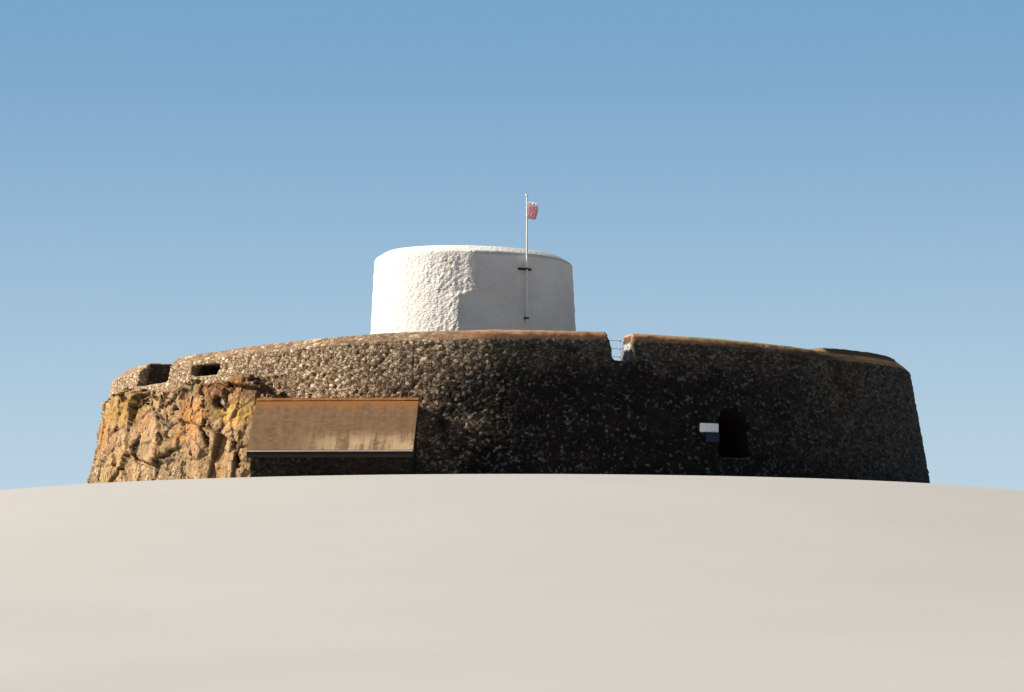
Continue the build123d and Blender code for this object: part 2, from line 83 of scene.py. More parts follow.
# %% Wrap a socket for arithmetic
class Wire:
    """A socket of a node tree that can be used in a Python expression."""

    def __init__(self, socket):
        self.socket = socket
        self.tree = socket.id_data

    def node(self, kind, settings, sockets, output=0):
        return add_node(self.tree, kind, settings, sockets, output)

    def maths(self, operation, *values):
        return self.node("ShaderNodeMath", {"operation": operation}, dict(enumerate(values)))

    def __add__(self, other):
        return self.maths("ADD", self, other)

    def __radd__(self, other):
        return self.maths("ADD", other, self)

    def __sub__(self, other):
        return self.maths("SUBTRACT", self, other)

    def __rsub__(self, other):
        return self.maths("SUBTRACT", other, self)

    def __mul__(self, other):
        return self.maths("MULTIPLY", self, other)

    def __rmul__(self, other):
        return self.maths("MULTIPLY", other, self)

    def __pow__(self, other):
        return self.maths("POWER", self, other)

    def smooth(self, low, high):
        """0 below low, 1 above high, and a smooth step between. Low may be the higher, to turn it round."""
        return self.node("ShaderNodeMapRange", {"interpolation_type": "SMOOTHSTEP"},
                         {"Value": self, "From Min": low, "From Max": high})

    def size(self):
        """The number without its sign."""
        return self.maths("ABSOLUTE", self)

    def at_least(self, other):
        """The larger of the number and another."""
        return self.maths("MAXIMUM", self, other)

    def vector(self, operation, other):
        return self.node("ShaderNodeVectorMath", {"operation": operation}, {0: self, 1: other})

    def scaled(self, factor):
        return self.node("ShaderNodeVectorMath", {"operation": "SCALE"}, {0: self, "Scale": factor})

    def beside(self, output):
        """Another output of the node that this one comes from."""
        return Wire(self.socket.node.outputs[output])

    def part(self, axis):
        """One of the three numbers of a vector or colour."""
        return self.node("ShaderNodeSeparateXYZ", {}, {0: self}, axis)


def add_node(tree, kind, settings, sockets, output=0):
    """Adds one node: its settings first, then each socket's value or link."""
    node = tree.nodes.new(kind)
    for name, value in settings.items():
        if name == "stops":
            ramp = node.color_ramp
            while len(ramp.elements) < len(value):
                ramp.elements.new(0.5)
            for element, (position, colour) in zip(ramp.elements, value):
                element.position = position
                element.color = (*colour, 1)
        else:
            setattr(node, name, value)
    for key, value in sockets.items():
        if isinstance(value, Wire):
            tree.links.new(value.socket, node.inputs[key])
        else:
            node.inputs[key].default_value = value
    return Wire(node.outputs[output]) if node.outputs else None


def noise_of(point, scale, detail=2.0, roughness=0.5, output="Fac"):
    """Soft cloudy noise from 0 to 1, or three such numbers at once from the output Color."""
    sockets = {"Vector": point, "Scale": scale, "Detail": detail, "Roughness": roughness}
    return point.node("ShaderNodeTexNoise", {}, sockets, output)


def voronoi(point, size, output, feature="F1"):
    """Random cells about one size across: a distance in them, or the three random numbers of each."""
    sockets = {"Vector": point, "Scale": 1 / size}
    return point.node("ShaderNodeTexVoronoi", {"feature": feature}, sockets, output)


def mix(share, first, second):
    """A colour between two others, given as sockets or as (r, g, b)."""
    one, two = [colour if isinstance(colour, Wire) else (*colour, 1) for colour in (first, second)]
    wire = next(value for value in (share, first, second) if isinstance(value, Wire))
    return wire.node("ShaderNodeMix", {"data_type": "RGBA"}, {0: share, 6: one, 7: two}, 2)


print("shader helpers ready")

# %% [markdown]
# ## How rubble is laid
# Rubble is a wall of unsorted stones, each a few hands wide, bedded flatter than they are tall. Voronoi
# cells in three dimensions have that look: a slice through them in any direction gives irregular stones of
# mixed size, so no unwrapping is needed round a curved wall. The same function feeds the geometry nodes
# that push the stones out and the shader that colours them, so both agree stone by stone.

# %% Stones from Voronoi cells
bedding = (1.0, 1.0, 1.45)


def cells(point, size):
    """Voronoi cells: how far a point is inside its cell, the cell's three random numbers, and a leaning face.

    The face is a plane through the cell's middle that leans by a random amount, as a height in metres."""
    inside = voronoi(point, size, "Distance", "DISTANCE_TO_EDGE")
    tint = voronoi(point, size, "Color")
    from_middle = point.vector("SUBTRACT", tint.beside("Position"))
    lean = from_middle.vector("DOT_PRODUCT", tint.vector("SUBTRACT", (0.5, 0.5, 0.5))).beside("Value")
    return inside, tint, lean


def stonework(point, size):
    """The cells of a rubble wall: wavy at their edges and bedded flat."""
    wander = noise_of(point, 2.2 / size, 1.0, output="Color").scaled(size * 0.45)
    return cells(point.vector("MULTIPLY", bedding).vector("ADD", wander), size)


def relief_tree(name, height_of):
    """Geometry nodes that keep each point's place and facing, then push it out by a height."""
    tree = bpy.data.node_groups.new(name, "GeometryNodeTree")
    tree.interface.new_socket("Geometry", in_out="INPUT", socket_type="NodeSocketGeometry")
    tree.interface.new_socket("Geometry", in_out="OUTPUT", socket_type="NodeSocketGeometry")
    flow = add_node(tree, "NodeGroupInput", {}, {})
    for label, kind in (("laid", "GeometryNodeInputPosition"), ("facing", "GeometryNodeInputNormal")):
        flow = flow.node("GeometryNodeStoreNamedAttribute", {"data_type": "FLOAT_VECTOR", "domain": "POINT"},
                         {"Geometry": flow, "Name": label, "Value": add_node(tree, kind, {}, {})})
    laid, faced = [add_node(tree, "GeometryNodeInputNamedAttribute", {"data_type": "FLOAT_VECTOR"},
                            {"Name": label}) for label in ("laid", "facing")]
    offset = faced.scaled(height_of(laid, faced))
    flow = flow.node("GeometryNodeSetPosition", {}, {"Geometry": flow, "Offset": offset})
    flow.node("NodeGroupOutput", {}, {0: flow})
    return tree


print("stonework ready")

# %% [markdown]
# ## One skin over many solids
# Each wall is several solids that touch. If each were roughened by itself, every joint between two of them
# would show as a crack. So the solids are joined, and a voxel remesh draws one even mesh over all of them:
# it leaves out what is inside, and rounds the arrises a little, as weather does. After the relief, the
# skin is shared out again, each face to the solid that it lies nearest to, so every piece keeps its name.

# %% Join, remesh and share out
ground_skip = 0.01    # faces this near the ground lie flat on it and keep the solid's own shape


def joined(nodes):
    """The corners and faces of several solids, and for each face the number of its solid."""
    corners, faces, owners = [], [], []
    for number, node in enumerate(nodes):
        mesh = solids[node].data
        first = len(corners)
        corners += [vertex.co[:] for vertex in mesh.vertices]
        faces += [[first + index for index in face.vertices] for face in mesh.polygons]
        owners += [number] * len(mesh.polygons)
    return corners, faces, owners


def applied(mesh, kind, **settings):
    """The mesh that one modifier makes of another."""
    holder = bpy.data.objects.new("holder", mesh)
    bpy.context.scene.collection.objects.link(holder)
    modifier = holder.modifiers.new("modifier", kind)
    for name, value in settings.items():
        setattr(modifier, name, value)
    graph = bpy.context.evaluated_depsgraph_get()
    result = bpy.data.meshes.new_from_object(holder.evaluated_get(graph))
    bpy.data.objects.remove(holder)
    return result


def read(collection, field, width):
    """One field of all of a mesh's corners, loops or faces, as an array of that width."""
    values = np.empty(len(collection) * width, dtype=np.int64 if field == "vertex_index" else np.float64)
    collection.foreach_get(field, values)
    return values.reshape(-1, width) if width > 1 else values


def underside(node):
    """A solid's flat faces on the ground: their corners, and each face as indices into those."""
    mesh = solids[node].data
    faces = [face for face in mesh.polygons if face.normal.z < -0.9 and face.center.z < ground_skip]
    used = sorted({index for face in faces for index in face.vertices})
    renumbered = {index: number for number, index in enumerate(used)}
    corners = [mesh.vertices[index].co[:] for index in used]
    return corners, [[renumbered[index] for index in face.vertices] for face in faces]


def skin(nodes, cell, relief, wanted, trimmed=None):
    """A mesh in relief for each node: all of them remeshed as one, then shared out by the nearest solid.

    trimmed may move the even mesh's corners before the relief is added."""
    corners, faces, owners = joined(nodes)
    rough = bpy.data.meshes.new("rough")
    rough.from_pydata(corners, [], faces)
    even = applied(rough, "REMESH", mode="VOXEL", voxel_size=cell)
    middles = read(even.polygons, "center", 3)
    nearest = BVHTree.FromPolygons(corners, faces)
    owner = np.array([owners[nearest.find_nearest(middle)[2]] for middle in middles])
    if trimmed:
        even.vertices.foreach_set("co", trimmed(read(even.vertices, "co", 3)).ravel())
        even.update()
    shaped = applied(even, "NODES", node_group=relief)
    quads = read(shaped.loops, "vertex_index", 1).reshape(-1, 4)
    places = read(shaped.vertices, "co", 3)
    places[:, 2] = np.maximum(places[:, 2], 0)
    normals = read(shaped.vertices, "normal", 3)
    laid = read(shaped.attributes["laid"].data, "vector", 3)
    facing = read(shaped.attributes["facing"].data, "vector", 3)
    kept = wanted(middles) & (middles[:, 2] > ground_skip)
    meshes = {}
    for number, node in enumerate(nodes):
        used, renumbered = np.unique(quads[(owner == number) & kept], return_inverse=True)
        base, base_faces = underside(node)
        down = np.array(base).reshape(-1, 3)
        below = np.tile((0.0, 0.0, -1.0), (len(base), 1))
        sides = renumbered.reshape(-1, 4).tolist()
        mesh = bpy.data.meshes.new(node)
        mesh.from_pydata(np.vstack((places[used], down)), [],
                         sides + [[len(used) + index for index in face] for face in base_faces])
        for label, sides_have, base_has in (("laid", laid, down), ("facing", facing, below)):
            values = np.vstack((sides_have[used], base_has)).ravel()
            mesh.attributes.new(label, "FLOAT_VECTOR", "POINT").data.foreach_set("vector", values)
        mesh.shade_smooth()
        mesh.normals_split_custom_set_from_vertices(np.vstack((normals[used], below)))
        meshes[node] = mesh
    print(len(nodes), "solids,", sum(len(mesh.polygons) for mesh in meshes.values()), "faces of", cell, "m")
    return meshes


def add_piece(name, mesh, material, slot, *stands_for):
    """One finished piece: in the scene, with its finish, riding on the fort."""
    piece = bpy.data.objects.new(name, mesh)
    bpy.context.scene.collection.objects.link(piece)
    mesh.materials.clear()
    mesh.materials.append(material)
    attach(piece, "root")
    if stands_for:
        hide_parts(*stands_for)
    return piece


print("skin helpers ready")

# %% [markdown]
# ## The rubble's finish
# Seen close, each stone has its own colour: brown, tan, grey, now and then nearly white, and the joints
# between them are deep and dark. The side that faces the sun is painted warmer and paler: painted sunlight.
# The side away from it is painted grey to nearly black in blotches: painted shade, with some damp growth on
# the stones. Low down round the gate it is painted black, with a brown edge, a ragged top and small pale
# specks: painted shade and damp stain together. The cheeks of the openings are painted dark: painted shade.
# The notch's cheek is painted pale blue-grey: painted sky, for the view in which sky shows all across the
# real notch and this cheek stands in the way, and not the stone's own colour. So the colour is the stone's
# own, and over it the joint, the weathering, and the painted light and shade, by azimuth and height.

# %% Helpers for materials
def new_material(name, make):
    """A material whose colour, roughness and height come from make(tree)."""
    material = bpy.data.materials.new(name)
    material.use_nodes = True
    tree = material.node_tree
    shader = tree.nodes["Principled BSDF"]
    for socket, value in make(tree).items():
        if socket == "height":
            wire, distance = value
            value = wire.node("ShaderNodeBump", {}, {"Strength": 1.0, "Distance": distance, "Height": wire})
            socket = "Normal"
        if isinstance(value, Wire):
            tree.links.new(value.socket, shader.inputs[socket])
        else:
            shader.inputs[socket].default_value = value
    return material


def laid_point(tree, label="laid"):
    """Where a point of a skin was before its relief, or with the label facing, which way it faced."""
    return add_node(tree, "ShaderNodeAttribute", {"attribute_name": label}, {}, "Vector")


def object_point(tree):
    return add_node(tree, "ShaderNodeTexCoord", {}, {}, "Object")


def azimuth_of(point):
    """Degrees round the upright axis, from -Y towards +X."""
    return point.maths("ARCTAN2", point.part(0), 0 - point.part(1)) * math.degrees(1)


def radius_of(point):
    return (point.part(0) ** 2 + point.part(1) ** 2) ** 0.5


print("material helpers ready")

# %% The stones' own colours
stone_size = 0.112
stone_stops = [(0.0, (0.17, 0.11, 0.065)), (0.25, (0.33, 0.225, 0.135)), (0.48, (0.46, 0.33, 0.21)),
               (0.64, (0.34, 0.27, 0.19)), (0.82, (0.57, 0.42, 0.28)), (1.0, (0.80, 0.65, 0.48))]
joint_colour = (0.060, 0.042, 0.028)


def rubble_colours(point):
    """Stones in dark joints: the colour, where the joints are, the grain and each stone's random numbers."""
    inside, tint, _ = stonework(point, stone_size)
    stone = point.node("ShaderNodeValToRGB", {"stops": stone_stops}, {"Fac": tint.part(0)})
    grain = noise_of(point, 34, 3, 0.7)
    cloud = noise_of(point, 0.55, 3)
    stone = mix(grain.smooth(0.40, 0.80) * 0.5, stone, (0.12, 0.085, 0.055))
    joint = inside.smooth(0.12, 0.02)
    wall = mix(joint * (0.95 - cloud * 0.5), stone, joint_colour)
    wall = mix(cloud.smooth(0.60, 0.36) * 0.30, wall, (0.16, 0.115, 0.075))
    return wall, joint, grain, tint


print(len(stone_stops), "colours of stone")

# %% Where painted shade and damp stain lie on the wall, and where it is an opening's cheek
def shaded_side(point):
    """Shares of painted shade away from the sun: grey, black with stain low down, and a brown edge to the
    black.
    """
    ragged = noise_of(point, 1.6, 4, 0.65) - 0.5
    turn = azimuth_of(point) + ragged * 24
    height = point.part(2) + ragged * 1.6
    grey = turn.smooth(-8, 3) * turn.smooth(178, 165)
    black = turn.smooth(-9, 0) * turn.smooth(62, 26) * height.smooth(3.1, 2.3)
    brown = turn.smooth(-17, -11) * turn.smooth(60, 22) * height.smooth(2.9, 2.2)
    patches = noise_of(point, 2.3, 3, 0.6).smooth(0.44, 0.60)
    return grey, black * (0.86 + patches * 0.14), brown * (0.38 + patches * 0.35)


def in_the_thickness(point):
    """1 on the cheeks of the gate, slot and embrasures, 0 on the wall's outer and inner faces."""
    radius = radius_of(point)
    outer = ring_radius - point.part(2) * ring_batter - radius
    step = point.part(2).smooth(walk_height - 0.02, walk_height + 0.02)
    inner = radius - rampart_inner_radius - step * (parapet_inner_radius - rampart_inner_radius)
    return outer.smooth(0.10, 0.30) * inner.smooth(0.03, 0.12)


print("the wall is", round(ring_radius - rampart_inner_radius, 2), "m thick at its foot")

# %% Rubble material
speck_size = 0.065
# Near black, laid on as damp stain and painted shade together.
stain_and_shade_colour = (0.008, 0.006, 0.004)
cheek_shade_colour = (0.035, 0.018, 0.012)
straight_joint_azimuth = -10.1


def rubble(tree, painted_shade=0.0):
    """Stones, weathering and painted light. The second argument, from 0 to 1, darkens it all as painted
    shade.
    """
    point = laid_point(tree)
    turn = azimuth_of(point)
    up = laid_point(tree, "facing").part(2)
    wall, joint, grain, tint = rubble_colours(point)
    wall = mix(painted_shade, wall, stain_and_shade_colour)
    grey, black, brown = shaded_side(point)
    speck = voronoi(point, speck_size, "Color").part(0).smooth(0.80, 0.90)
    # A brown band round the black: painted shade and stain together.
    wall = mix(brown * (0.85 - speck * 0.75), wall, (0.055, 0.034, 0.022))
    # Away from the sun the stones are painted grey to nearly black in blotches: painted shade, with growth.
    tone = (tint.part(1) * 0.55 + noise_of(point, 1.9, 4, 0.65) * 0.9).smooth(0.50, 1.0)
    growth_and_shade_colour = mix(tone * (1.0 - joint * 0.8), (0.011, 0.011, 0.008), (0.100, 0.100, 0.082))
    wall = mix(grey * 0.84, wall, growth_and_shade_colour)
    # Low down round the gate the wall is painted black: painted shade and damp stain together.
    wall = mix(black * (1.0 - speck * 0.65), wall, stain_and_shade_colour)
    come_away = grey * speck * noise_of(point, 2.4, 3, 0.6).smooth(0.45, 0.58)
    wall = mix(come_away * 0.60, wall, (0.17, 0.17, 0.155))
    # The side facing the sun is painted warmer and paler: painted sunlight.
    painted_sunlight = turn.smooth(-24, -44) * turn.smooth(-150, -120)
    wall = mix(painted_sunlight * (0.95 - joint) * 0.26, wall, (0.52, 0.375, 0.24))
    wall = mix(speck * (1.0 - grey) * (0.32 * (1 - painted_shade)), wall, (0.80, 0.65, 0.48))
    # The cheeks of the openings are painted dark: painted shade in the recesses.
    cheek = in_the_thickness(point) * up.smooth(0.7, 0.4)
    wall = mix(cheek * 0.80, wall, cheek_shade_colour)
    # The notch's cheek is painted pale blue-grey: painted sky seen through the notch.
    in_the_notch = (turn - notch_azimuth).size().smooth(3.0, 2.4)
    wall = mix(cheek * in_the_notch * (0.9 - joint * 0.4), wall, (0.50, 0.53, 0.55))
    wall = mix(up.smooth(0.6, 0.9) * 0.75, wall, (0.33, 0.27, 0.19))
    straight_joint = (turn - straight_joint_azimuth).size().smooth(0.22, 0.06)
    wall = mix(straight_joint * point.part(2).smooth(2.2, 2.4) * 0.85, wall, joint_colour)
    return {"Base Color": wall, "Roughness": 0.92, "height": (grain * 0.5 - joint, 0.016)}


rubble_material = new_material("rubble_in_lime_mortar", rubble)
print("rubble material with", len(rubble_material.node_tree.nodes), "nodes")

# %% [markdown]
# ## The rampart ring
# The ring's wall leans inwards as it rises, with a parapet on its outer edge and a sloping coping on that.
# Rampart, parapet, coping, the arch over the gate and its threshold are one skin. The coping is smoother than
# the wall, since it is mortar trowelled over flat stones, so it gets less relief, by how far it faces up.

# %% Skin the ring
ring_cell = 0.052
relief_depth = 0.036


def rubble_height(laid, faced):
    """How far each stone stands out of its joints, less on what faces up and nothing underneath."""
    inside, tint, lean = stonework(laid, stone_size)
    lumps = noise_of(laid, 7, 2) - 0.5
    bulge = inside.smooth(0.0, 0.17) * (0.4 + tint.part(1) * 0.6) + lean * (1.5 / stone_size)
    upright = 1.0 - 0.75 * faced.part(2).smooth(0.35, 0.8)
    sides_only = faced.part(2).smooth(-0.6, -0.3)
    return (bulge + lumps * 0.7 - 0.4) * relief_depth * upright * sides_only


def above_ground(middles):
    return middles[:, 2] > 0


rubble_relief = relief_tree("rubble_relief", rubble_height)
ring_families = ("rampart_", "parapet_", "coping_", "gate_", "slot_")
ring_nodes = [node for node in solids if node.startswith(ring_families)]
ring_meshes = skin(ring_nodes, ring_cell, rubble_relief, above_ground)

# %% [markdown]
# ## The coping's finish
# The coping is brown mortar with grey and orange lichen, and its look changes along the ring. On the sunny
# side the mortar has gone, so bare stones show. Round the front, away from the sun, its lower half is
# painted dark, as painted shade, and its crest is pale, first pinkish and then olive. At the far end the
# whole of it is orange, and its crest is painted dark: painted shade.

# %% Coping
coping_reach = 0.241


def coping(tree):
    """Weathered mortar with lichen and painted shade; shares follow the azimuth and how far up the slope it
    is.
    """
    point = laid_point(tree)
    turn = azimuth_of(point)
    cloud = noise_of(point, 2.6, 4, 0.6)
    grain = noise_of(point, 30, 3, 0.7)
    far_end = turn.smooth(49, 56)
    colour = mix(cloud.smooth(0.3, 0.7), (0.20, 0.095, 0.045), (0.36, 0.195, 0.10))
    colour = mix(far_end * cloud.smooth(0.25, 0.50) * 0.85, colour, (0.62, 0.34, 0.13))
    lichen = noise_of(point, 5.5, 4, 0.7).smooth(0.48, 0.64)
    colour = mix(lichen * (turn.smooth(14, 30) * 0.45 + 0.25), colour, (0.52, 0.29, 0.075))
    colour = mix(grain.smooth(0.45, 0.75) * 0.5, colour, (0.10, 0.065, 0.045))
    up_the_slope = (ring_radius - radius_of(point) - point.part(2) * ring_batter) * (1 / coping_reach)
    ragged_slope = up_the_slope + (cloud - 0.5) * 0.6
    # Round the front, away from the sun, the coping's lower half is painted dark: painted shade.
    shaded_low_half = ragged_slope.smooth(0.62, 0.38) * turn.smooth(-6, 4)
    colour = mix(shaded_low_half * (0.80 - far_end * 0.55), colour, (0.065, 0.034, 0.020))
    pale_crest = ragged_slope.smooth(0.60, 0.85) * turn.smooth(52, 47)
    pinkish_to_olive = mix(turn.smooth(22, 32), (0.62, 0.43, 0.29), (0.58, 0.50, 0.25))
    colour = mix(pale_crest * (0.45 + turn.smooth(16, 22) * 0.25), colour, pinkish_to_olive)
    colour = mix(turn.smooth(0, -10) * 0.85, colour, rubble_colours(point)[0])
    # At the far end the crest is painted dark: painted shade.
    painted_shade_crest = up_the_slope.smooth(0.70, 0.92) * turn.smooth(49, 53)
    colour = mix(painted_shade_crest * 0.85, colour, (0.045, 0.038, 0.024))
    # The coping's cheeks in the openings are painted dark too: painted shade.
    cheek = in_the_thickness(point) * laid_point(tree, "facing").part(2).smooth(0.5, 0.2)
    colour = mix(cheek * 0.8, colour, cheek_shade_colour)
    return {"Base Color": colour, "Roughness": 0.9, "height": (grain, 0.012)}


coping_material = new_material("weathered_coping", coping)
for node, mesh in ring_meshes.items():
    top = node.startswith("coping_")
    dressed = node in ("slot_lintel", "gate_threshold")
    slot = "coping_stone" if top else "dressed_stone" if dressed else "rubble"
    add_piece(node + "_stonework", mesh, coping_material if top else rubble_material, slot, node)
print(len(ring_meshes), "pieces of the ring dressed")

# %% [markdown]
# ## The limewashed tower
# Coat over coat of limewash has filled the joints, so the stones show only as soft lumps where the light
# grazes them. Near the front the old coats are thickest and end in an upright edge, which the sun turns into
# a sharp line between light and shade. Its coping is trowelled smooth, so it gets hardly any relief, and
# along its lower edge, on the side away from the sun, a grey band is painted: painted shadow. The closed
# room inside is left out of the skin, since nothing shows it.

# %% Relief of the limewash
tower_stone_size = 0.115
limewash_depth = 0.019
tower_rim = 6.40
patch_reach, patch_depth = 9.0, 0.05
step_foot, step_head = 5.28, 5.40
low_edge_azimuth, high_edge_azimuth = -4.5, 4.0


def from_the_axis(point):
    """A point as seen from the tower's axis instead of the ring's."""
    return point.vector("SUBTRACT", (tower_axis.x, tower_axis.y, 0))


def thick_patch(laid):
    """Old coats that end in an upright edge, further round the tower high up than low down."""
    upper = laid.part(2).smooth(step_foot, step_head)
    edge = upper * (high_edge_azimuth - low_edge_azimuth) + low_edge_azimuth
    past_the_edge = azimuth_of(from_the_axis(laid)) - edge + (noise_of(laid, 8, 3, 0.6) - 0.5) * 6
    grown = (past_the_edge * (1 / patch_reach) + 1.0).at_least(0.0)
    return grown * past_the_edge.smooth(1.3, 0.0) * patch_depth


def limewash_height(laid, faced):
    inside, tint, lean = stonework(laid, tower_stone_size)
    lumps = noise_of(laid, 2.0, 5, 0.65) - 0.5
    upright = 1.0 - 0.93 * faced.part(2).smooth(0.25, 0.6)
    below_the_rim = 1.0 - 0.75 * laid.part(2).smooth(tower_rim - 0.10, tower_rim)
    filled = noise_of(laid, 1.1, 3).smooth(0.62, 0.42) * 0.5 + 0.5
    stones = inside.smooth(0.0, 0.22) * (0.3 + tint.part(1) * 0.7) + lean * (1.7 / tower_stone_size)
    lumpy = (stones * filled + lumps * 1.8 - 0.3) * limewash_depth * below_the_rim
    return (lumpy + thick_patch(laid)) * upright


print("limewash up to", patch_depth, "m deep in its thickest patch")

# %% Skin the tower
tower_cell = 0.045
room_reach = 1.7


def outside_the_room(middles):
    from_axis = np.hypot(middles[:, 0] - tower_axis.x, middles[:, 1] - tower_axis.y)
    in_room = (from_axis < room_reach) & (middles[:, 2] < platform_high.z)
    return ~in_room & (middles[:, 2] >= courtyard_height + ground_skip)


def limewash(tree):
    """Thick white limewash, a little grey and warm in places, fine brush and weather marks, painted shadow at
    the rim.
    """
    point = laid_point(tree)
    inside, _, _ = stonework(point, tower_stone_size)
    cloud = noise_of(point, 0.9, 4, 0.6)
    grain = noise_of(point, 26, 3, 0.6)
    colour = mix(cloud.smooth(0.35, 0.7), (0.78, 0.755, 0.71), (0.87, 0.84, 0.785))
    colour = mix(inside.smooth(0.08, 0.0) * 0.25, colour, (0.62, 0.60, 0.56))
    streaks = noise_of(point.vector("MULTIPLY", (3.0, 3.0, 0.35)), 2.0, 3)
    colour = mix(streaks.smooth(0.58, 0.8) * 0.16, colour, (0.60, 0.57, 0.50))
    # Along the coping's lower edge, on the side away from the sun, a grey band is painted: painted shadow.
    height = point.part(2)
    from_below = height.smooth(tower_rim - 0.05, tower_rim)
    from_above = height.smooth(tower_rim + 0.10, tower_rim + 0.03)
    painted_shadow_side = azimuth_of(from_the_axis(point)).smooth(0, 12)
    colour = mix(from_below * from_above * painted_shadow_side * 0.45, colour, (0.40, 0.39, 0.37))
    return {"Base Color": colour, "Roughness": 0.85, "height": (grain * 0.5 + inside.smooth(0.0, 0.3), 0.006)}


limewash_relief = relief_tree("limewash_relief", limewash_height)
tower_nodes = [node for node in solids if node.startswith(("tower_wall_", "tower_parapet_", "tower_coping"))]
tower_meshes = skin(tower_nodes, tower_cell, limewash_relief, outside_the_room)
limewash_material = new_material("limewash", limewash)
for node, mesh in tower_meshes.items():
    add_piece(node + "_limewash", mesh, limewash_material, "limewash", node)
solids["tower_vault"].material_slots[0].material = limewash_material
print(len(tower_meshes), "pieces of the tower limewashed")

# %% [markdown]
# ## The natural rock
# The rampart was built out from a granite outcrop. It has broken along steep joints into blocks with flat,
# leaning faces, dark clefts between them and orange lichen where it sees the sun. So the relief is a sum of
# leaning cell faces at three sizes, sheared a little to one side as the rock's own joints are. The longest
# cracks run each from a start to an end given by azimuth and height, and the deepest holes are ovals. Along
# its top and at its ends the rock gives way to masonry, so it is first drawn in to the wall there.

# %% Cracks, holes and lichen on the rock
crag_size, block_size, chip_size, pit_size = 1.15, 0.40, 0.13, 0.13
rock_cracks = [((-51.0, 2.10), (-46.7, 1.42)), ((-44.7, 1.62), (-46.7, 1.42)), ((-46.9, 1.42), (-46.4, 1.20)),
               ((-40.2, 2.50), (-38.9, 1.65)), ((-38.9, 1.65), (-37.4, 0.95)), ((-34.0, 1.30), (-32.2, 0.40)),
               ((-59.5, 1.10), (-60.8, 0.70))]
rock_holes = [((-53.2, 1.06), (0.85, 0.36)), ((-46.9, 0.70), (1.7, 0.08)), ((-45.1, 2.34), (0.8, 0.10)),
              ((-45.7, 1.97), (0.9, 0.06)), ((-36.6, 2.00), (0.8, 0.15)), ((-41.1, 0.80), (0.45, 0.15)),
              ((-68.1, 2.60), (1.6, 0.12)), ((-64.3, 0.93), (1.6, 0.12)), ((-33.2, 0.95), (0.7, 0.16))]
# Patches by azimuth and height: most are lichen, and the dark one at -31 degrees by the store is painted
# shade.
lichen_and_shade_patches = [((-69, 1.65), (8, 0.50), (0.60, 0.27, 0.075)), ((-61, 2.15), (9, 0.34), (0.47, 0.30, 0.07)),
           ((-54, 1.90), (2.5, 0.34), (0.25, 0.165, 0.05)), ((-42, 1.62), (4, 0.55), (0.60, 0.29, 0.10)),
           ((-36.5, 2.45), (5, 0.34), (0.27, 0.10, 0.03)), ((-34.4, 2.12), (2.8, 0.32), (0.16, 0.070, 0.045)),
           ((-33.6, 1.70), (3, 0.34), (0.60, 0.38, 0.09)), ((-31, 2.40), (3, 0.40), (0.13, 0.070, 0.045)),
           ((-64, 0.95), (4, 0.22), (0.26, 0.12, 0.05))]
rock_top_line = [(-90, 2.20), (-75, 2.25), (-70, 2.40), (-62, 2.40), (-54, 2.18), (-48, 2.08),
                 (-43, 2.38), (-40, 2.64), (-34, 2.56), (-31, 2.36), (-28.5, 1.95), (-26, 1.65)]
rock_proud_line = [(-88, -0.1), (-84, 0.06), (-76, 0.09), (-66, 0.26), (-60, 0.8), (-28, 0.8)]


def crag_point(point):
    """The rock's own grid: sheared to one side, a little stretched upwards and bent."""
    shear = point.node("ShaderNodeCombineXYZ", {}, {0: point.part(2) * 0.24, 1: point.part(2) * 0.14})
    bent = point.vector("ADD", shear).vector("ADD", noise_of(point, 1.3, output="Color").scaled(0.20))
    return bent.vector("MULTIPLY", (1.0, 1.0, 0.78))


def oval(turn, height, middle, half):
    """1 in the middle of an oval given by azimuth and height, 0 outside it."""
    across = (turn - middle[0]) * (1 / half[0])
    up = (height - middle[1]) * (1 / half[1])
    return (across * across + up * up).smooth(1.5, 0.2)


def cracks_in(point):
    """1 in the longest cracks, which run from point to point over the rock's face, and in its holes."""
    turn = azimuth_of(point) + (noise_of(point, 3.0, 4, 0.6) - 0.5) * 3.2
    height = point.part(2) + (noise_of(point, 5.5, 4, 0.65) - 0.5) * 0.34
    marks = [oval(turn, height, middle, half) for middle, half in rock_holes]
    for (start_turn, start_height), (end_turn, end_height) in rock_cracks:
        slope = (end_turn - start_turn) / (end_height - start_height)
        across = turn - start_turn - (point.part(2) - start_height) * slope
        low, high = sorted((start_height, end_height))
        reach = point.part(2).smooth(low - 0.1, low + 0.1) * point.part(2).smooth(high + 0.1, high - 0.1)
        marks.append(across.size().smooth(0.42, 0.10) * reach)
    deepest = marks[0]
    for mark in marks[1:]:
        deepest = deepest.at_least(mark)
    return deepest


print(len(rock_cracks), "cracks,", len(rock_holes), "holes and", len(lichen_and_shade_patches), "patches of lichen")

# %% Draw the rock in to the wall
top_fade = 0.30
sunk_above = 0.06


def trimmed_rock(places):
    """The rock's corners drawn in above its top line and towards its ends, where it gives way to masonry."""
    turn = np.degrees(np.arctan2(places[:, 0], -places[:, 1]))
    radius = np.hypot(places[:, 0], places[:, 1])
    height = places[:, 2]
    wall = ring_radius - ring_batter * height
    ragged = 0.06 * np.sin(turn * 1.1) + 0.05 * np.sin(turn * 2.7 + 1) + 0.03 * np.sin(turn * 6.1 + 2)
    top = np.interp(turn, *zip(*rock_top_line)) + ragged
    rise = np.clip((height - top) / top_fade, 0, 1)
    rise = rise * rise * (3 - 2 * rise)
    proud = np.interp(turn, *zip(*rock_proud_line))
    limit = wall + proud * (1 - rise) - sunk_above * rise
    share = np.where(radius > wall - sunk_above, np.minimum(1, limit / radius), 1)
    return np.column_stack((places[:, 0] * share, places[:, 1] * share, height))


print("the rock is up to", max(height for _, height in rock_top_line), "m high")

# %% Skin the rock
rock_cell = 0.034


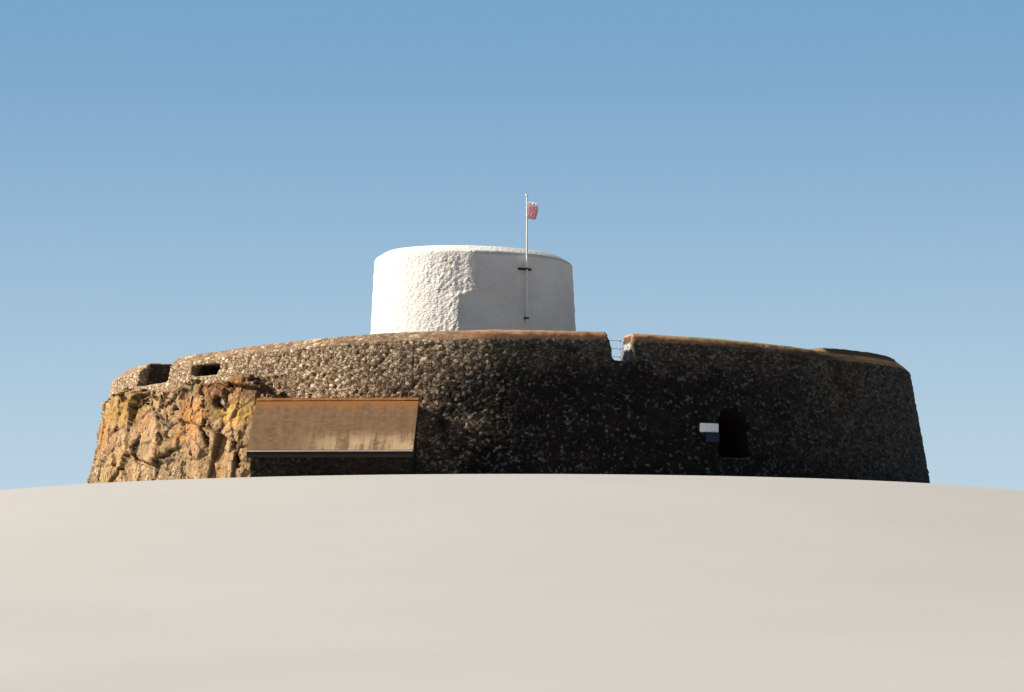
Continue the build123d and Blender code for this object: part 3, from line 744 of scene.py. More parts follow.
def rock_height(laid, faced):
    grid = crag_point(laid)
    height = (noise_of(laid, 4.5, 5, 0.65) - 0.5) * 0.055 - 0.105 - cracks_in(laid) * 0.13
    for size, lean_share, step, gap in ((crag_size, 0.28, 0.10, 0.04), (block_size, 0.30, 0.036, 0.014),
                                        (chip_size, 0.36, 0.014, 0.004)):
        inside, tint, lean = cells(grid, size)
        height = height + lean * lean_share + tint.part(0) * step - inside.smooth(0.035, 0.0) * gap
    return height * faced.part(2).smooth(-0.5, -0.1)


def outer_side(middles):
    """The rock's faces that stand clear of the ring's wall."""
    return np.hypot(middles[:, 0], middles[:, 1]) > ring_radius - ring_batter * middles[:, 2] - 0.03


rock_relief = relief_tree("rock_relief", rock_height)
rock_mesh = skin(["rock_face"], rock_cell, rock_relief, outer_side, trimmed_rock)["rock_face"]

# %% Granite
def into_masonry(point):
    """1 where the rock has been trimmed down to the wall, which it gives way to."""
    return (radius_of(point) + point.part(2) * ring_batter - ring_radius).smooth(0.14, 0.03)


def rock(tree):
    """Granite with ochre and orange lichen and painted shade, pitted, dark in cracks, pinkish where lately
    broken.
    """
    point = laid_point(tree)
    grid = crag_point(point)
    cleft, _, _ = cells(grid, crag_size)
    gap, block_tint, _ = cells(grid, block_size)
    chip_gap, chip_tint, _ = cells(grid, chip_size)
    cloud = noise_of(point, 1.5, 4, 0.65)
    fine_cloud = noise_of(point, 6.0, 4, 0.7)
    grain = noise_of(point, 24, 4, 0.7)
    colour = mix(block_tint.part(0), (0.32, 0.215, 0.108), (0.46, 0.325, 0.175))
    colour = mix(chip_tint.part(1).smooth(0.45, 0.95) * 0.5, colour, (0.62, 0.465, 0.285))
    pink = noise_of(point, 1.1, 3, 0.6).smooth(0.45, 0.60)
    colour = mix(pink * 0.5, colour, (0.53, 0.335, 0.20))
    turn = azimuth_of(point) + (cloud - 0.5) * 16
    height = point.part(2) + (fine_cloud - 0.5) * 0.9
    mottled = fine_cloud.smooth(0.34, 0.60) * 0.60 + 0.28
    for middle, half, growth_and_shade_colour in lichen_and_shade_patches:
        colour = mix(oval(turn, height, middle, half) * mottled, colour, growth_and_shade_colour)
    rusty = (cloud * 0.5 + fine_cloud * 0.5).smooth(0.51, 0.62)
    colour = mix(rusty * 0.5, colour, (0.56, 0.29, 0.085))
    dark = noise_of(point, 4.2, 4, 0.75).smooth(0.56, 0.68)
    colour = mix(dark * 0.6, colour, (0.12, 0.070, 0.036))
    pits = voronoi(grid, pit_size, "Distance")
    pitted = pits.smooth(0.30, 0.12) * pits.beside("Color").part(0).smooth(0.45, 0.60)
    colour = mix(pitted * 0.8, colour, (0.085, 0.050, 0.03))
    colour = mix(cleft.smooth(0.035, 0.0) * 0.6, colour, (0.05, 0.032, 0.02))
    colour = mix(gap.smooth(0.05, 0.0) * 0.45, colour, (0.09, 0.055, 0.032))
    colour = mix(chip_gap.smooth(0.08, 0.0) * 0.25, colour, (0.12, 0.075, 0.045))
    colour = mix(cracks_in(point) * 0.95, colour, (0.022, 0.014, 0.009))
    colour = mix(grain.smooth(0.52, 0.78) * 0.45, colour, (0.15, 0.10, 0.06))
    colour = mix(into_masonry(point) * 0.8, colour, rubble_colours(point)[0])
    relief = grain * 1.3 + chip_tint.part(2) - pitted * 1.4
    return {"Base Color": colour, "Roughness": 0.92, "height": (relief, 0.026)}


add_piece("rock_face_crags", rock_mesh, new_material("granite_with_lichen", rock), "rock", "rock_face")
print("rock dressed")

# %% [markdown]
# ## Shapes in code
# The smaller pieces are hard and made by people, so they are built from parts with true edges: blocks with
# small bevels, rods, plates and turned profiles. Each is drawn as if it faced -Y and then turned to its
# azimuth, round the ring's centre or the tower's axis, which is how a mason would set it out.

# %% Builders for hard pieces
sharp_edge = math.radians(35)


def set_out(azimuth, axis=Vector((0, 0, 0))):
    """The move that turns a shape facing -Y to an azimuth round an upright axis."""
    return Matrix.Translation((axis.x, axis.y, 0)) @ Matrix.Rotation(math.radians(azimuth), 4, "Z")


def block(shape, low, high, edge=0.003):
    """Adds a box between two corners, its edges eased by a bevel."""
    low, high = Vector(low), Vector(high)
    place = Matrix.Translation((low + high) / 2) @ Matrix.Diagonal((*(high - low), 1))
    corners = bmesh.ops.create_cube(shape, size=1, matrix=place)["verts"]
    edges = list({edge_of for corner in corners for edge_of in corner.link_edges})
    bmesh.ops.bevel(shape, geom=edges, offset=edge, segments=2, profile=0.5, affect="EDGES")


def rod(shape, start, end, radius, end_radius=None, sides=20):
    """Adds a round bar from one point to another."""
    start, end = Vector(start), Vector(end)
    along = end - start
    place = Matrix.Translation((start + end) / 2) @ along.to_track_quat("Z", "Y").to_matrix().to_4x4()
    far_radius = radius if end_radius is None else end_radius
    bmesh.ops.create_cone(shape, cap_ends=True, segments=sides, radius1=radius, radius2=far_radius,
                          depth=along.length, matrix=place)


def plate(shape, outline, thickness):
    """Adds a flat plate: an outline of points, and the same outline moved by the thickness vector."""
    front = [shape.verts.new(point) for point in outline]
    back = [shape.verts.new(Vector(point) + Vector(thickness)) for point in outline]
    shape.faces.new(front)
    shape.faces.new(back[::-1])
    for number in range(len(front)):
        shape.faces.new((front[number - 1], back[number - 1], back[number], front[number]))


def lathe(shape, profile, sides, axis=(0, 0)):
    """Adds a turned form from (radius, height) points. Its first and last radius are 0."""
    rings = []
    for radius, height in profile:
        turns = [math.tau * n / sides for n in range(sides)] if radius else [0]
        rings.append([shape.verts.new((axis[0] + radius * math.cos(turn),
                                       axis[1] + radius * math.sin(turn), height)) for turn in turns])
    for lower, upper in zip(rings, rings[1:]):
        for n in range(sides):
            if len(lower) == 1:
                corners = [lower[0], upper[n], upper[n - 1]]
            elif len(upper) == 1:
                corners = [lower[n - 1], lower[n], upper[0]]
            else:
                corners = [lower[n - 1], lower[n], upper[n], upper[n - 1]]
            shape.faces.new(corners)


def hard_piece(name, shape, place, material, slot, *stands_for):
    """Finishes a shape as a piece: faces outwards, sharp at its edges, in its place."""
    bmesh.ops.recalc_face_normals(shape, faces=shape.faces)
    shape.transform(place)
    mesh = bpy.data.meshes.new(name)
    shape.to_mesh(mesh)
    shape.free()
    mesh.shade_smooth()
    mesh.set_sharp_from_angle(angle=sharp_edge)
    return add_piece(name, mesh, material, slot, *stands_for)


print("builders ready")

# %% [markdown]
# ## Paint, iron, timber and paving
# Four finishes cover the small pieces. Paint has gone chalky, chips at random and is dirty in places. Iron is
# dark with rust. Bare boards have a grain that runs along them. Paving is flags of random shape with moss in
# the joints. Each is a function of a few colours, so that the same wear reads alike all over the fort.

# %% Paint, iron and timber
def painted(colour, beneath, wear):
    """Chalky paint, dirty in places, that has chipped more the larger its wear is."""
    def make(tree):
        point = object_point(tree)
        chips = noise_of(point, 22, 4, 0.7)
        dirt = noise_of(point, 2.5, 4, 0.6)
        face = mix(dirt.smooth(0.35, 0.75) * 0.35, colour, tuple(0.6 * part for part in colour))
        face = mix(chips.smooth(0.74 - wear, 0.78 - wear), face, beneath)
        film = chips.smooth(0.78 - wear, 0.74 - wear)
        return {"Base Color": face, "Roughness": dirt * 0.3 + 0.4, "height": (film, 0.001)}
    return make


def iron(tree):
    point = object_point(tree)
    rust = noise_of(point, 14, 4, 0.7).smooth(0.45, 0.65)
    colour = mix(rust, (0.040, 0.040, 0.042), (0.13, 0.065, 0.038))
    return {"Base Color": colour, "Metallic": 0.25, "Roughness": rust * 0.3 + 0.55,
            "height": (noise_of(point, 60, 3, 0.6), 0.002)}


def boarding(stretch, dark, light):
    """Timber with its grain along the axis that stretch makes smallest."""
    def make(tree):
        point = object_point(tree)
        grain = noise_of(point.vector("MULTIPLY", stretch), 9.0, 5, 0.65)
        knots = noise_of(point, 3.5, 2)
        colour = mix(grain.smooth(0.32, 0.68), dark, light)
        colour = mix(knots.smooth(0.62, 0.75) * 0.5, colour, tuple(0.5 * part for part in dark))
        return {"Base Color": colour, "Roughness": 0.75, "height": (grain, 0.003)}
    return make


iron_material = new_material("rusting_iron", iron)
pale_paint, white_paint, blue_paint, sunlit_gutter_paint, eave_shade_paint = [
    new_material(name, painted(colour, beneath, wear)) for name, colour, beneath, wear in (
        ("pale_painted_tube", (0.82, 0.86, 0.88), (0.45, 0.46, 0.46), 0.02),
        ("white_paint", (0.88, 0.88, 0.86), (0.50, 0.47, 0.43), 0.0),
        ("dull_blue_paint", (0.016, 0.028, 0.058), (0.10, 0.11, 0.13), 0.02),
        # The gutter's white paint is warmed to cream: painted sunlight.
        ("gutter_paint_warmed_as_sunlit", (0.96, 0.86, 0.72), (0.50, 0.42, 0.32), 0.0),
        # The eave board is painted nearly black: painted shade under the gutter and the eave.
        ("eave_board_in_painted_shade", (0.050, 0.038, 0.028), (0.10, 0.075, 0.05), 0.06))]
door_boards, floor_boards = [
    new_material(name, boarding(stretch, dark, light)) for name, stretch, dark, light in (
        ("tarred_door_boards", (4.0, 4.0, 0.4), (0.035, 0.024, 0.016), (0.11, 0.075, 0.048)),
        ("old_floor_boards", (0.4, 5.0, 4.0), (0.09, 0.06, 0.038), (0.24, 0.17, 0.11)))]
print("paint, iron and timber ready")

# %% Paving
flag_size = 0.46


def paving(tree):
    point = object_point(tree)
    flat = point.vector("MULTIPLY", (1.0, 1.0, 0.2))
    wavy = flat.vector("ADD", noise_of(point, 1.6, output="Color").scaled(0.12))
    gap, flag, lean = cells(wavy, flag_size)
    grain = noise_of(point, 30, 4, 0.7)
    colour = mix(flag.part(0), (0.27, 0.235, 0.185), (0.42, 0.375, 0.30))
    colour = mix(noise_of(point, 0.8, 4, 0.6).smooth(0.45, 0.7) * 0.5, colour, (0.20, 0.175, 0.13))
    colour = mix(grain.smooth(0.5, 0.8) * 0.4, colour, (0.16, 0.14, 0.11))
    joint = gap.smooth(0.06, 0.02)
    earth_or_moss = mix(noise_of(point, 4, 3).smooth(0.45, 0.6), (0.10, 0.085, 0.06), (0.07, 0.09, 0.03))
    colour = mix(joint * 0.8, colour, earth_or_moss)
    return {"Base Color": colour, "Roughness": 0.9, "height": (grain * 0.3 - joint + lean * 0.8, 0.015)}


paving_material = new_material("worn_flags", paving)
for node, material in (("courtyard", paving_material), ("tower_gun_platform", paving_material),
                       ("store_floor", paving_material), ("tower_first_floor", floor_boards),
                       ("store_eave_board", eave_shade_paint)):
    solids[node].material_slots[0].material = material
    print(node, "has", material.name)

# %% [markdown]
# ## The store against the wall
# It is a plain lean-to of rubble with a slated roof. Its walls are skinned as the ring is. The slates are
# laid one by one in courses from the eave up, each a little askew, with the joints of each course over the
# middles of the one below. Slates that would lie inside the ring's wall are left out. The gutter is one
# half-round section drawn out along the eave, with hangers round it. Angled ridge tiles, one after another
# and not quite in line, close the top.

# %% Store walls
store_cell = 0.045
store_painted_shade = 0.90

# The store's walls are painted nearly black all over: painted shade under the eave.
painted_shade_rubble = new_material("painted_shade_rubble", lambda tree: rubble(tree, store_painted_shade))
store_nodes = ["store_front_wall", "store_left_gable", "store_right_gable"]
store_meshes = skin(store_nodes, store_cell, rubble_relief, above_ground)
for node, mesh in store_meshes.items():
    add_piece(node + "_stonework", mesh, painted_shade_rubble, "rubble", node)

# %% Slates on a slope
roof_low, roof_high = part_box("store_roof_front")
eave_height = max(v.co.z for v in solids["store_roof_front"].data.vertices if v.co.y < roof_low.y + 0.001)
ridge_y, ridge_z = roof_high.y, roof_high.z
roof_slope = (ridge_z - eave_height) / (ridge_y - roof_low.y)
slate_gauge = 0.088
slate_width = 0.118
slate_thickness = 0.003
slate_tilt = 0.003
slate_lap = 1.9
half_joint = 0.001
slate_faces = ((3, 2, 1, 0), (4, 5, 6, 7), (0, 1, 5, 4), (1, 2, 6, 5), (2, 3, 7, 6), (3, 0, 4, 7))


def slate_roof(start, ridge, across, run, seed):
    """Courses of slates on a slope: each slate a thin plate, lapped over the course below."""
    chance = random.Random(seed)
    climb = (ridge - start).normalized()
    rise = (ridge - start).length
    lift = across.cross(climb)
    shape = bmesh.new()
    tone = shape.verts.layers.float.new("tone")
    course = 0
    while course * slate_gauge < rise - 0.02:
        foot = course * slate_gauge
        left = -(course % 2) * slate_width / 2
        while left < run - 0.01:
            right = min(left + slate_width * chance.uniform(0.9, 1.1), run)
            low, high = foot - chance.uniform(0, 0.006), min(foot + slate_gauge * slate_lap, rise)
            skew = chance.uniform(-0.003, 0.003)
            shade = chance.random()
            head = start + across * (left + right) / 2 + climb * high
            if math.hypot(head.x, head.y) > ring_radius - ring_batter * head.z:
                corners = []
                near, far = max(left, 0) + half_joint, right - half_joint
                for depth in (0.0, slate_thickness):
                    for u, v in ((near, low), (far, low + skew), (far, high), (near, high)):
                        proud = slate_tilt * (1 - (v - low) / max(high - low, 0.01)) + depth
                        corner = shape.verts.new(start + across * u + climb * v + lift * proud)
                        corner[tone] = shade
                        corners.append(corner)
                for face in slate_faces:
                    shape.faces.new([corners[index] for index in face])
            left = right
        course += 1
    mesh = bpy.data.meshes.new("slates")
    shape.to_mesh(mesh)
    shape.free()
    return mesh


print("the roof rises", round(roof_slope, 3), "m for each metre back")

# %% Slates on both slopes
def slate(tree):
    """Slates gone brown with lichen, rain streaks, rust-coloured growth under the ridge, painted shade below
    the eave.
    """
    point = object_point(tree)
    tone = add_node(tree, "ShaderNodeAttribute", {"attribute_name": "tone"}, {}, "Fac")
    cloud = noise_of(point, 1.7, 4, 0.6)
    streaks = noise_of(point.vector("MULTIPLY", (9.0, 0.7, 0.7)), 1.0, 4)
    colour = mix(tone, (0.165, 0.098, 0.049), (0.235, 0.145, 0.076))
    colour = mix(streaks.smooth(0.35, 0.7) * 0.6, colour, (0.255, 0.165, 0.088))
    colour = mix(cloud.smooth(0.50, 0.75) * 0.35, colour, (0.12, 0.072, 0.04))
    bleached = point.part(2).smooth(1.15, 0.75) * point.part(0).smooth(-4.6, -3.2)
    colour = mix(bleached * (streaks + cloud).smooth(0.70, 1.10) * 0.9, colour, (0.52, 0.38, 0.23))
    under_ridge = (point.part(2) + (streaks - 0.5) * 0.5).smooth(ridge_z - 0.32, ridge_z - 0.08)
    colour = mix(under_ridge * 0.85, colour, (0.34, 0.14, 0.032))
    grain = noise_of(point, 40, 3, 0.6)
    colour = mix(grain.smooth(0.5, 0.8) * 0.3, colour, (0.14, 0.09, 0.05))
    # The roof's front edge below the eave is painted dark: painted shade.
    shaded_below_the_eave = point.part(2).smooth(eave_height, eave_height - 0.004)
    at_the_front = point.part(1).smooth(roof_low.y + 0.04, roof_low.y + 0.01)
    colour = mix(shaded_below_the_eave * at_the_front, colour, (0.035, 0.025, 0.018))
    return {"Base Color": colour, "Roughness": 0.85, "height": (grain, 0.004)}


slate_material = new_material("weathered_slates", slate)
run = roof_high.x - roof_low.x
back_low_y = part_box("store_roof_back")[1].y
front_start = Vector((roof_low.x, roof_low.y, eave_height))
back_start = Vector((roof_high.x, back_low_y, ridge_z - roof_slope * (back_low_y - ridge_y)))
for node, start, way, seed in (("store_roof_front", front_start, 1, 5),
                               ("store_roof_back", back_start, -1, 6)):
    slates = slate_roof(start, Vector((start.x, ridge_y, ridge_z)), Vector((way, 0, 0)), run, seed)
    add_piece(node + "_slates", slates, slate_material, "slate")
    solids[node].material_slots[0].material = slate_material
    print(node, "has", len(slates.polygons) // 6, "slates")

# %% Gutter along the eave
gutter_radius = 0.029
gutter_thickness, hanger_thickness, hanger_width = 0.005, 0.006, 0.016
gutter_y = roof_low.y - gutter_radius * 0.6
gutter_z = eave_height - 0.010
hanger_count = 8
half_turns = [math.pi * n / 10 for n in range(11)]


def half_round(outer, inner):
    """The section of a trough, as (y, z) points round its outside and back round its inside."""
    return [(reach * math.cos(turn), -reach * math.sin(turn))
            for reach, turns in ((outer, half_turns), (inner, half_turns[::-1])) for turn in turns]


def trough(shape, start_x, length, outer, inner):
    section = [(start_x, gutter_y + y, gutter_z + z) for y, z in half_round(outer, inner)]
    plate(shape, section, (length, 0, 0))


shape = bmesh.new()
trough(shape, roof_low.x + 0.01, run - 0.02, gutter_radius, gutter_radius - gutter_thickness)
for number in range(hanger_count):
    hanger_x = roof_low.x + 0.12 + (run - 0.24) * number / (hanger_count - 1)
    trough(shape, hanger_x, hanger_width, gutter_radius + hanger_thickness, gutter_radius)
hard_piece("store_gutter", shape, Matrix.Identity(4), sunlit_gutter_paint, "timber")
print("gutter at", round(gutter_z, 3))

# %% Ridge tiles
tile_length = 0.315
tile_reach = 0.085
tile_thickness = 0.006
tile_gap = 0.003
tile_chance = random.Random(12)


def ridge_clay(tree):
    point = object_point(tree)
    cloud = noise_of(point, 5, 4, 0.65)
    colour = mix(cloud.smooth(0.35, 0.7), (0.24, 0.10, 0.032), (0.40, 0.19, 0.055))
    colour = mix(noise_of(point, 25, 3, 0.7).smooth(0.5, 0.75) * 0.5, colour, (0.13, 0.075, 0.04))
    return {"Base Color": colour, "Roughness": 0.85, "height": (cloud, 0.006)}


shape = bmesh.new()
tile_count = round(run / tile_length)
drop = tile_reach * roof_slope
under = tile_thickness * 1.6
section = [(-tile_reach, -drop), (0, 0), (tile_reach, -drop), (tile_reach, -drop - under),
           (0, -under), (-tile_reach, -drop - under)]
for number in range(tile_count):
    start_x = roof_low.x + run * number / tile_count
    top_z = ridge_z + 0.028 + tile_chance.uniform(-0.003, 0.003)
    middle_y = ridge_y + tile_chance.uniform(-0.004, 0.004)
    outline = [(start_x + tile_gap, middle_y + y, top_z + z) for y, z in section]
    plate(shape, outline, (run / tile_count - 2 * tile_gap, 0, 0))
ridge_material = new_material("lichened_ridge_tiles", ridge_clay)
hard_piece("store_ridge_tiles", shape, Matrix.Identity(4), ridge_material, "slate", "store_ridge_cap")
print("ridge tiles:", tile_count)

# %% [markdown]
# ## The flagpole, its brackets and the flag
# The pole is a slim white mast held off the tower's face by two iron brackets. It is turned in one profile,
# with a flat round truck on top. Each bracket is a strap bent to the tower's curve and bolted to it, an arm
# out to the pole and a clamp with two ears. The flag hangs limp, so its cloth is one sheet in upright folds,
# whose swing follows from its spread, so that the area stays as it was cut. Bunting is thin, and the light
# comes through it, so it has some subsurface scattering.

# %% Flagpole
pole_foot, pole_head = 4.56, 7.94
pole_foot_radius, pole_head_radius = 0.030, 0.018
pole_stand_off = 2.816
pole_place = set_out(pole_azimuth, tower_axis) @ Matrix.Translation((0, -pole_stand_off, 0))
pole_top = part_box("flagpole")[1].z
shape = bmesh.new()
lathe(shape, [(0, pole_foot), (0.024, pole_foot), (pole_foot_radius, pole_foot + 0.006),
              (pole_head_radius, pole_head - 0.004), (0.030, pole_head), (0.044, pole_head + 0.012),
              (0.044, pole_top - 0.014), (0.034, pole_top - 0.003), (0, pole_top)], 24)
hard_piece("flagpole_mast", shape, pole_place, white_paint, "pole_paint", "flagpole")
print("pole from", pole_foot, "to", round(pole_top, 3))

# %% Brackets
bracket_height = 0.05
strap_thickness = 0.034
strap_steps = 8
clamp_radius = 0.042
bolt_radius, ear_bolt_radius = 0.009, 0.006
tower_top_radius, tower_batter, tower_top = 2.665, 0.05, 6.48


def round_the_face(reach, turn, height):
    """A point in front of the tower, a small turn round it from -Y."""
    return Vector((reach * math.sin(turn), -reach * math.cos(turn), height))


def bracket(name, foot, width, bolt_heights):
    """A strap bolted round the tower's face, an arm with a web, and a clamp on the pole."""
    shape = bmesh.new()
    face = tower_top_radius + tower_batter * (tower_top - foot)
    turns = [width / face * (n / strap_steps - 0.5) for n in range(strap_steps + 1)]
    outline = [round_the_face(face + strap_thickness, turn, foot) for turn in turns]
    outline += [round_the_face(face - 0.03, turn, foot) for turn in reversed(turns)]
    plate(shape, outline, (0, 0, bracket_height))
    for side in (-1, 1):
        turn = side * (width / 2 - 0.028) / face
        for height in bolt_heights:
            start, end = [round_the_face(face + strap_thickness + out, turn, foot + height)
                          for out in (-0.002, 0.011)]
            rod(shape, start, end, bolt_radius, sides=6)
    near = -(pole_stand_off - pole_foot_radius - 0.004)
    for half, low, high, edge in ((0.014, 0.036, 0.046, 0.003), (0.014, 0.004, 0.014, 0.003),
                                  (0.005, 0.008, 0.042, 0.001)):
        block(shape, (-half, near, foot + low), (half, -face, foot + high), edge)
    collar = [(0, 0.005), (clamp_radius - 0.002, 0.005), (clamp_radius, 0.008), (clamp_radius, 0.042),
              (clamp_radius - 0.002, 0.045), (0, 0.045)]
    lathe(shape, [(radius, foot + height) for radius, height in collar], 24, (0, -pole_stand_off))
    for side in (-1, 1):
        ear, bolt = side * 0.050, side * 0.054
        block(shape, (ear - 0.012, -pole_stand_off - 0.007, foot + 0.011),
              (ear + 0.012, -pole_stand_off + 0.007, foot + 0.039), 0.002)
        rod(shape, (bolt, -pole_stand_off - 0.016, foot + 0.025),
            (bolt, -pole_stand_off + 0.016, foot + 0.025), ear_bolt_radius, sides=6)
    hard_piece(name + "_ironwork", shape, set_out(pole_azimuth, tower_axis), iron_material, "ironwork", name)


for name, width, bolt_heights in (("pole_lower_bracket", 0.14, (0.025,)),
                                  ("pole_upper_bracket", 0.40, (0.014, 0.036))):
    bracket(name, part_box(name)[0].z, width, bolt_heights)
print("pole held", pole_stand_off, "m from the tower's axis")

# %% Flag
flag_hoist, flag_fly = 0.45, 0.66
flag_folds = 3
flag_columns, flag_rows = 72, 36
cloth_thickness = 0.0015
flag_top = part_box("flag")[1].z


def flag_cloth(tree):
    """Thin bunting, white along the top and faded red below it, with a fine weave and bleached folds."""
    point = object_point(tree)
    down = (point.part(2) - flag_top) * (-1 / flag_hoist)
    ragged = (noise_of(point, 9, 3) - 0.5) * 0.06
    colour = mix((down + ragged).smooth(0.20, 0.30), (0.95, 0.90, 0.91), (0.90, 0.60, 0.66))
    faded = noise_of(point, 7, 3, 0.6).smooth(0.35, 0.65)
    colour = mix(faded * 0.6, colour, (0.95, 0.82, 0.85))
    weave = point.node("ShaderNodeTexWave", {"bands_direction": "Z"}, {"Vector": point, "Scale": 260.0})
    return {"Base Color": colour, "Roughness": 0.85, "Subsurface Weight": 0.85, "Subsurface Scale": 0.03,
            "Subsurface Radius": (1.0, 1.0, 1.0), "height": (weave, 0.0006)}


def flag_point(across, down):
    """Where a point of the cut cloth hangs: across and down go from 0 to 1."""
    spread = 0.245 + 0.085 * math.sin(math.pi * min(1, down * 0.85 + 0.12)) - 0.03 * down
    reach = spread * across
    swing = math.sqrt(max(0.0, (flag_fly / spread) ** 2 - 1)) * spread / (math.pi * flag_folds) * 1.06
    taper = min(1, across * 6)
    sway = swing * math.sin(math.tau * flag_folds * across + 0.9 * down) * taper * 0.75
    height = flag_top - flag_hoist * down - 0.018 * across * across
    return Vector((pole_head_radius + 0.004 + reach, sway, height))


shape = bmesh.new()
grid = [[shape.verts.new(flag_point(column / flag_columns, row / flag_rows))
         for column in range(flag_columns + 1)] for row in range(flag_rows + 1)]
for upper, lower in zip(grid, grid[1:]):
    for column in range(flag_columns):
        shape.faces.new((upper[column], lower[column], lower[column + 1], upper[column + 1]))
cloth_area = sum(face.calc_area() for face in shape.faces)
bmesh.ops.solidify(shape, geom=shape.faces[:], thickness=cloth_thickness)
bunting = new_material("flag_bunting", flag_cloth)
flag_piece = hard_piece("flag_bunting", shape, pole_place, bunting, "flag_cloth", "flag")
print("flag cloth", round(cloth_area, 4), "square metres, cut", round(flag_fly * flag_hoist, 4))

# %% [markdown]
# ## Railing, door and boards
# The notch in the parapet is closed by a light tubular rail on two feet. The tower's door is high above the
# ground, of upright boards on two long strap hinges with a ring to pull it by. Two bare boards are fixed
# beside the gate: thin sheets in frames on battens that bring them upright off the leaning wall.

# %% Railing in the notch
rail_y = -(parapet_inner_radius + 0.09)
rail_foot, rail_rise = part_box("notch_railing")[0].z, 0.58
rail_top = rail_foot + rail_rise
post_x = 0.192
rail_count = 3
notch_half_width, notch_flare, notch_height = 0.24, 0.065, 0.74
into_the_cheek = 0.012
shape = bmesh.new()
for side in (-1, 1):
    x = side * post_x
    rod(shape, (x, rail_y, rail_foot - 0.01), (x, rail_y, rail_top - 0.012), 0.012)
    rod(shape, (x, rail_y, rail_foot - 0.02), (x, rail_y, rail_foot + 0.03), 0.034)
    lathe(shape, [(0, rail_top - 0.026), (0.017, rail_top - 0.020), (0.020, rail_top - 0.010),
                  (0.015, rail_top - 0.002), (0, rail_top)], 16, (x, rail_y))
for number in range(rail_count):
    rail_z = rail_foot + rail_rise * (number + 1) / rail_count - 0.018
    half = notch_half_width + notch_flare * (rail_z - rail_foot) / notch_height + into_the_cheek
    tubes = [(-half, half, 0.009)]
    for side in (-1, 1):
        tubes.append((side * (half - 0.010), side * (half + 0.02), 0.022))
        tubes.append((side * post_x - 0.018, side * post_x + 0.018, 0.015))
    for start_x, end_x, radius in tubes:
        rod(shape, (start_x, rail_y, rail_z), (end_x, rail_y, rail_z), radius, sides=16)
hard_piece("notch_railing_tubes", shape, set_out(notch_azimuth), pale_paint, "galvanised", "notch_railing")
print("railing of", rail_count, "rails")

# %% Tower door
door_azimuth = 35.5
door_half, door_foot, door_spring = 0.25, 2.6, 3.35
door_recess = 0.35
door_face = -(tower_top_radius + tower_batter * (tower_top - door_spring) - door_recess)
door_place = set_out(door_azimuth, tower_axis)
plank_faces = (0.0, 0.004, 0.001, 0.005, 0.002)
plank_count = len(plank_faces)
plank_thickness = 0.036


def door_top(x):
    return door_spring + math.sqrt(max(0, (door_half - 0.004) ** 2 - x * x))


shape = bmesh.new()
for number, set_back in enumerate(plank_faces):
    left = -door_half + 2 * door_half * number / plank_count + 0.0025
    right = left + 2 * door_half / plank_count - 0.005
    face = door_face + set_back
    tops = [right + (left - right) * n / 6 for n in range(7)]
    outline = [(left, face, door_foot + 0.012), (right, face, door_foot + 0.012)]
    plate(shape, outline + [(x, face, door_top(x)) for x in tops], (0, plank_thickness, 0))
block(shape, (-door_half + 0.003, door_face + 0.034, door_foot + 0.004),
      (door_half - 0.003, door_face + 0.046, door_spring))
hard_piece("tower_door_planks", shape, door_place, door_boards, "boards", "tower_door")
print("door of", plank_count, "planks")

# %% Hinges and the ring to pull by
hinge_heights = (2.78, 3.27)
nail_count = 4
hinge_x, ring_x = -door_half + 0.012, door_half - 0.065
ring_z, ring_reach, ring_sides = 3.0, 0.032, 16
shape = bmesh.new()
for height in hinge_heights:
    strap = [(-door_half + 0.01, -0.020), (door_half - 0.09, -0.011), (door_half - 0.07, 0.0),
             (door_half - 0.09, 0.011), (-door_half + 0.01, 0.020)]
    plate(shape, [(x, door_face, height + up) for x, up in strap], (0, -0.007, 0))
    pin_y = door_face - 0.008
    rod(shape, (hinge_x, pin_y, height - 0.035), (hinge_x, pin_y, height + 0.035), 0.011)
    for number in range(nail_count):
        x = -door_half + 0.06 + 0.1 * number
        rod(shape, (x, door_face - 0.006, height), (x, door_face - 0.013, height), 0.008, 0.005, 10)
round_the_ring = [(ring_x + ring_reach * math.cos(math.tau * n / ring_sides), door_face - 0.012,
                   ring_z + ring_reach * math.sin(math.tau * n / ring_sides)) for n in range(ring_sides)]
for n in range(ring_sides):
    rod(shape, round_the_ring[n - 1], round_the_ring[n], 0.0045, sides=8)
staple_z = ring_z + ring_reach
rod(shape, (ring_x, door_face + 0.002, staple_z), (ring_x, door_face - 0.016, staple_z), 0.010, sides=12)
hard_piece("tower_door_ironwork", shape, door_place, iron_material, "ironwork")
print("door hung on", len(hinge_heights), "straps")

# %% Boards beside the gate
gate_half_width = 0.4375
beside_the_gate = 0.025
off_the_wall = 0.07
board_strip, board_depth = 0.020, 0.022
batten_half = 0.018


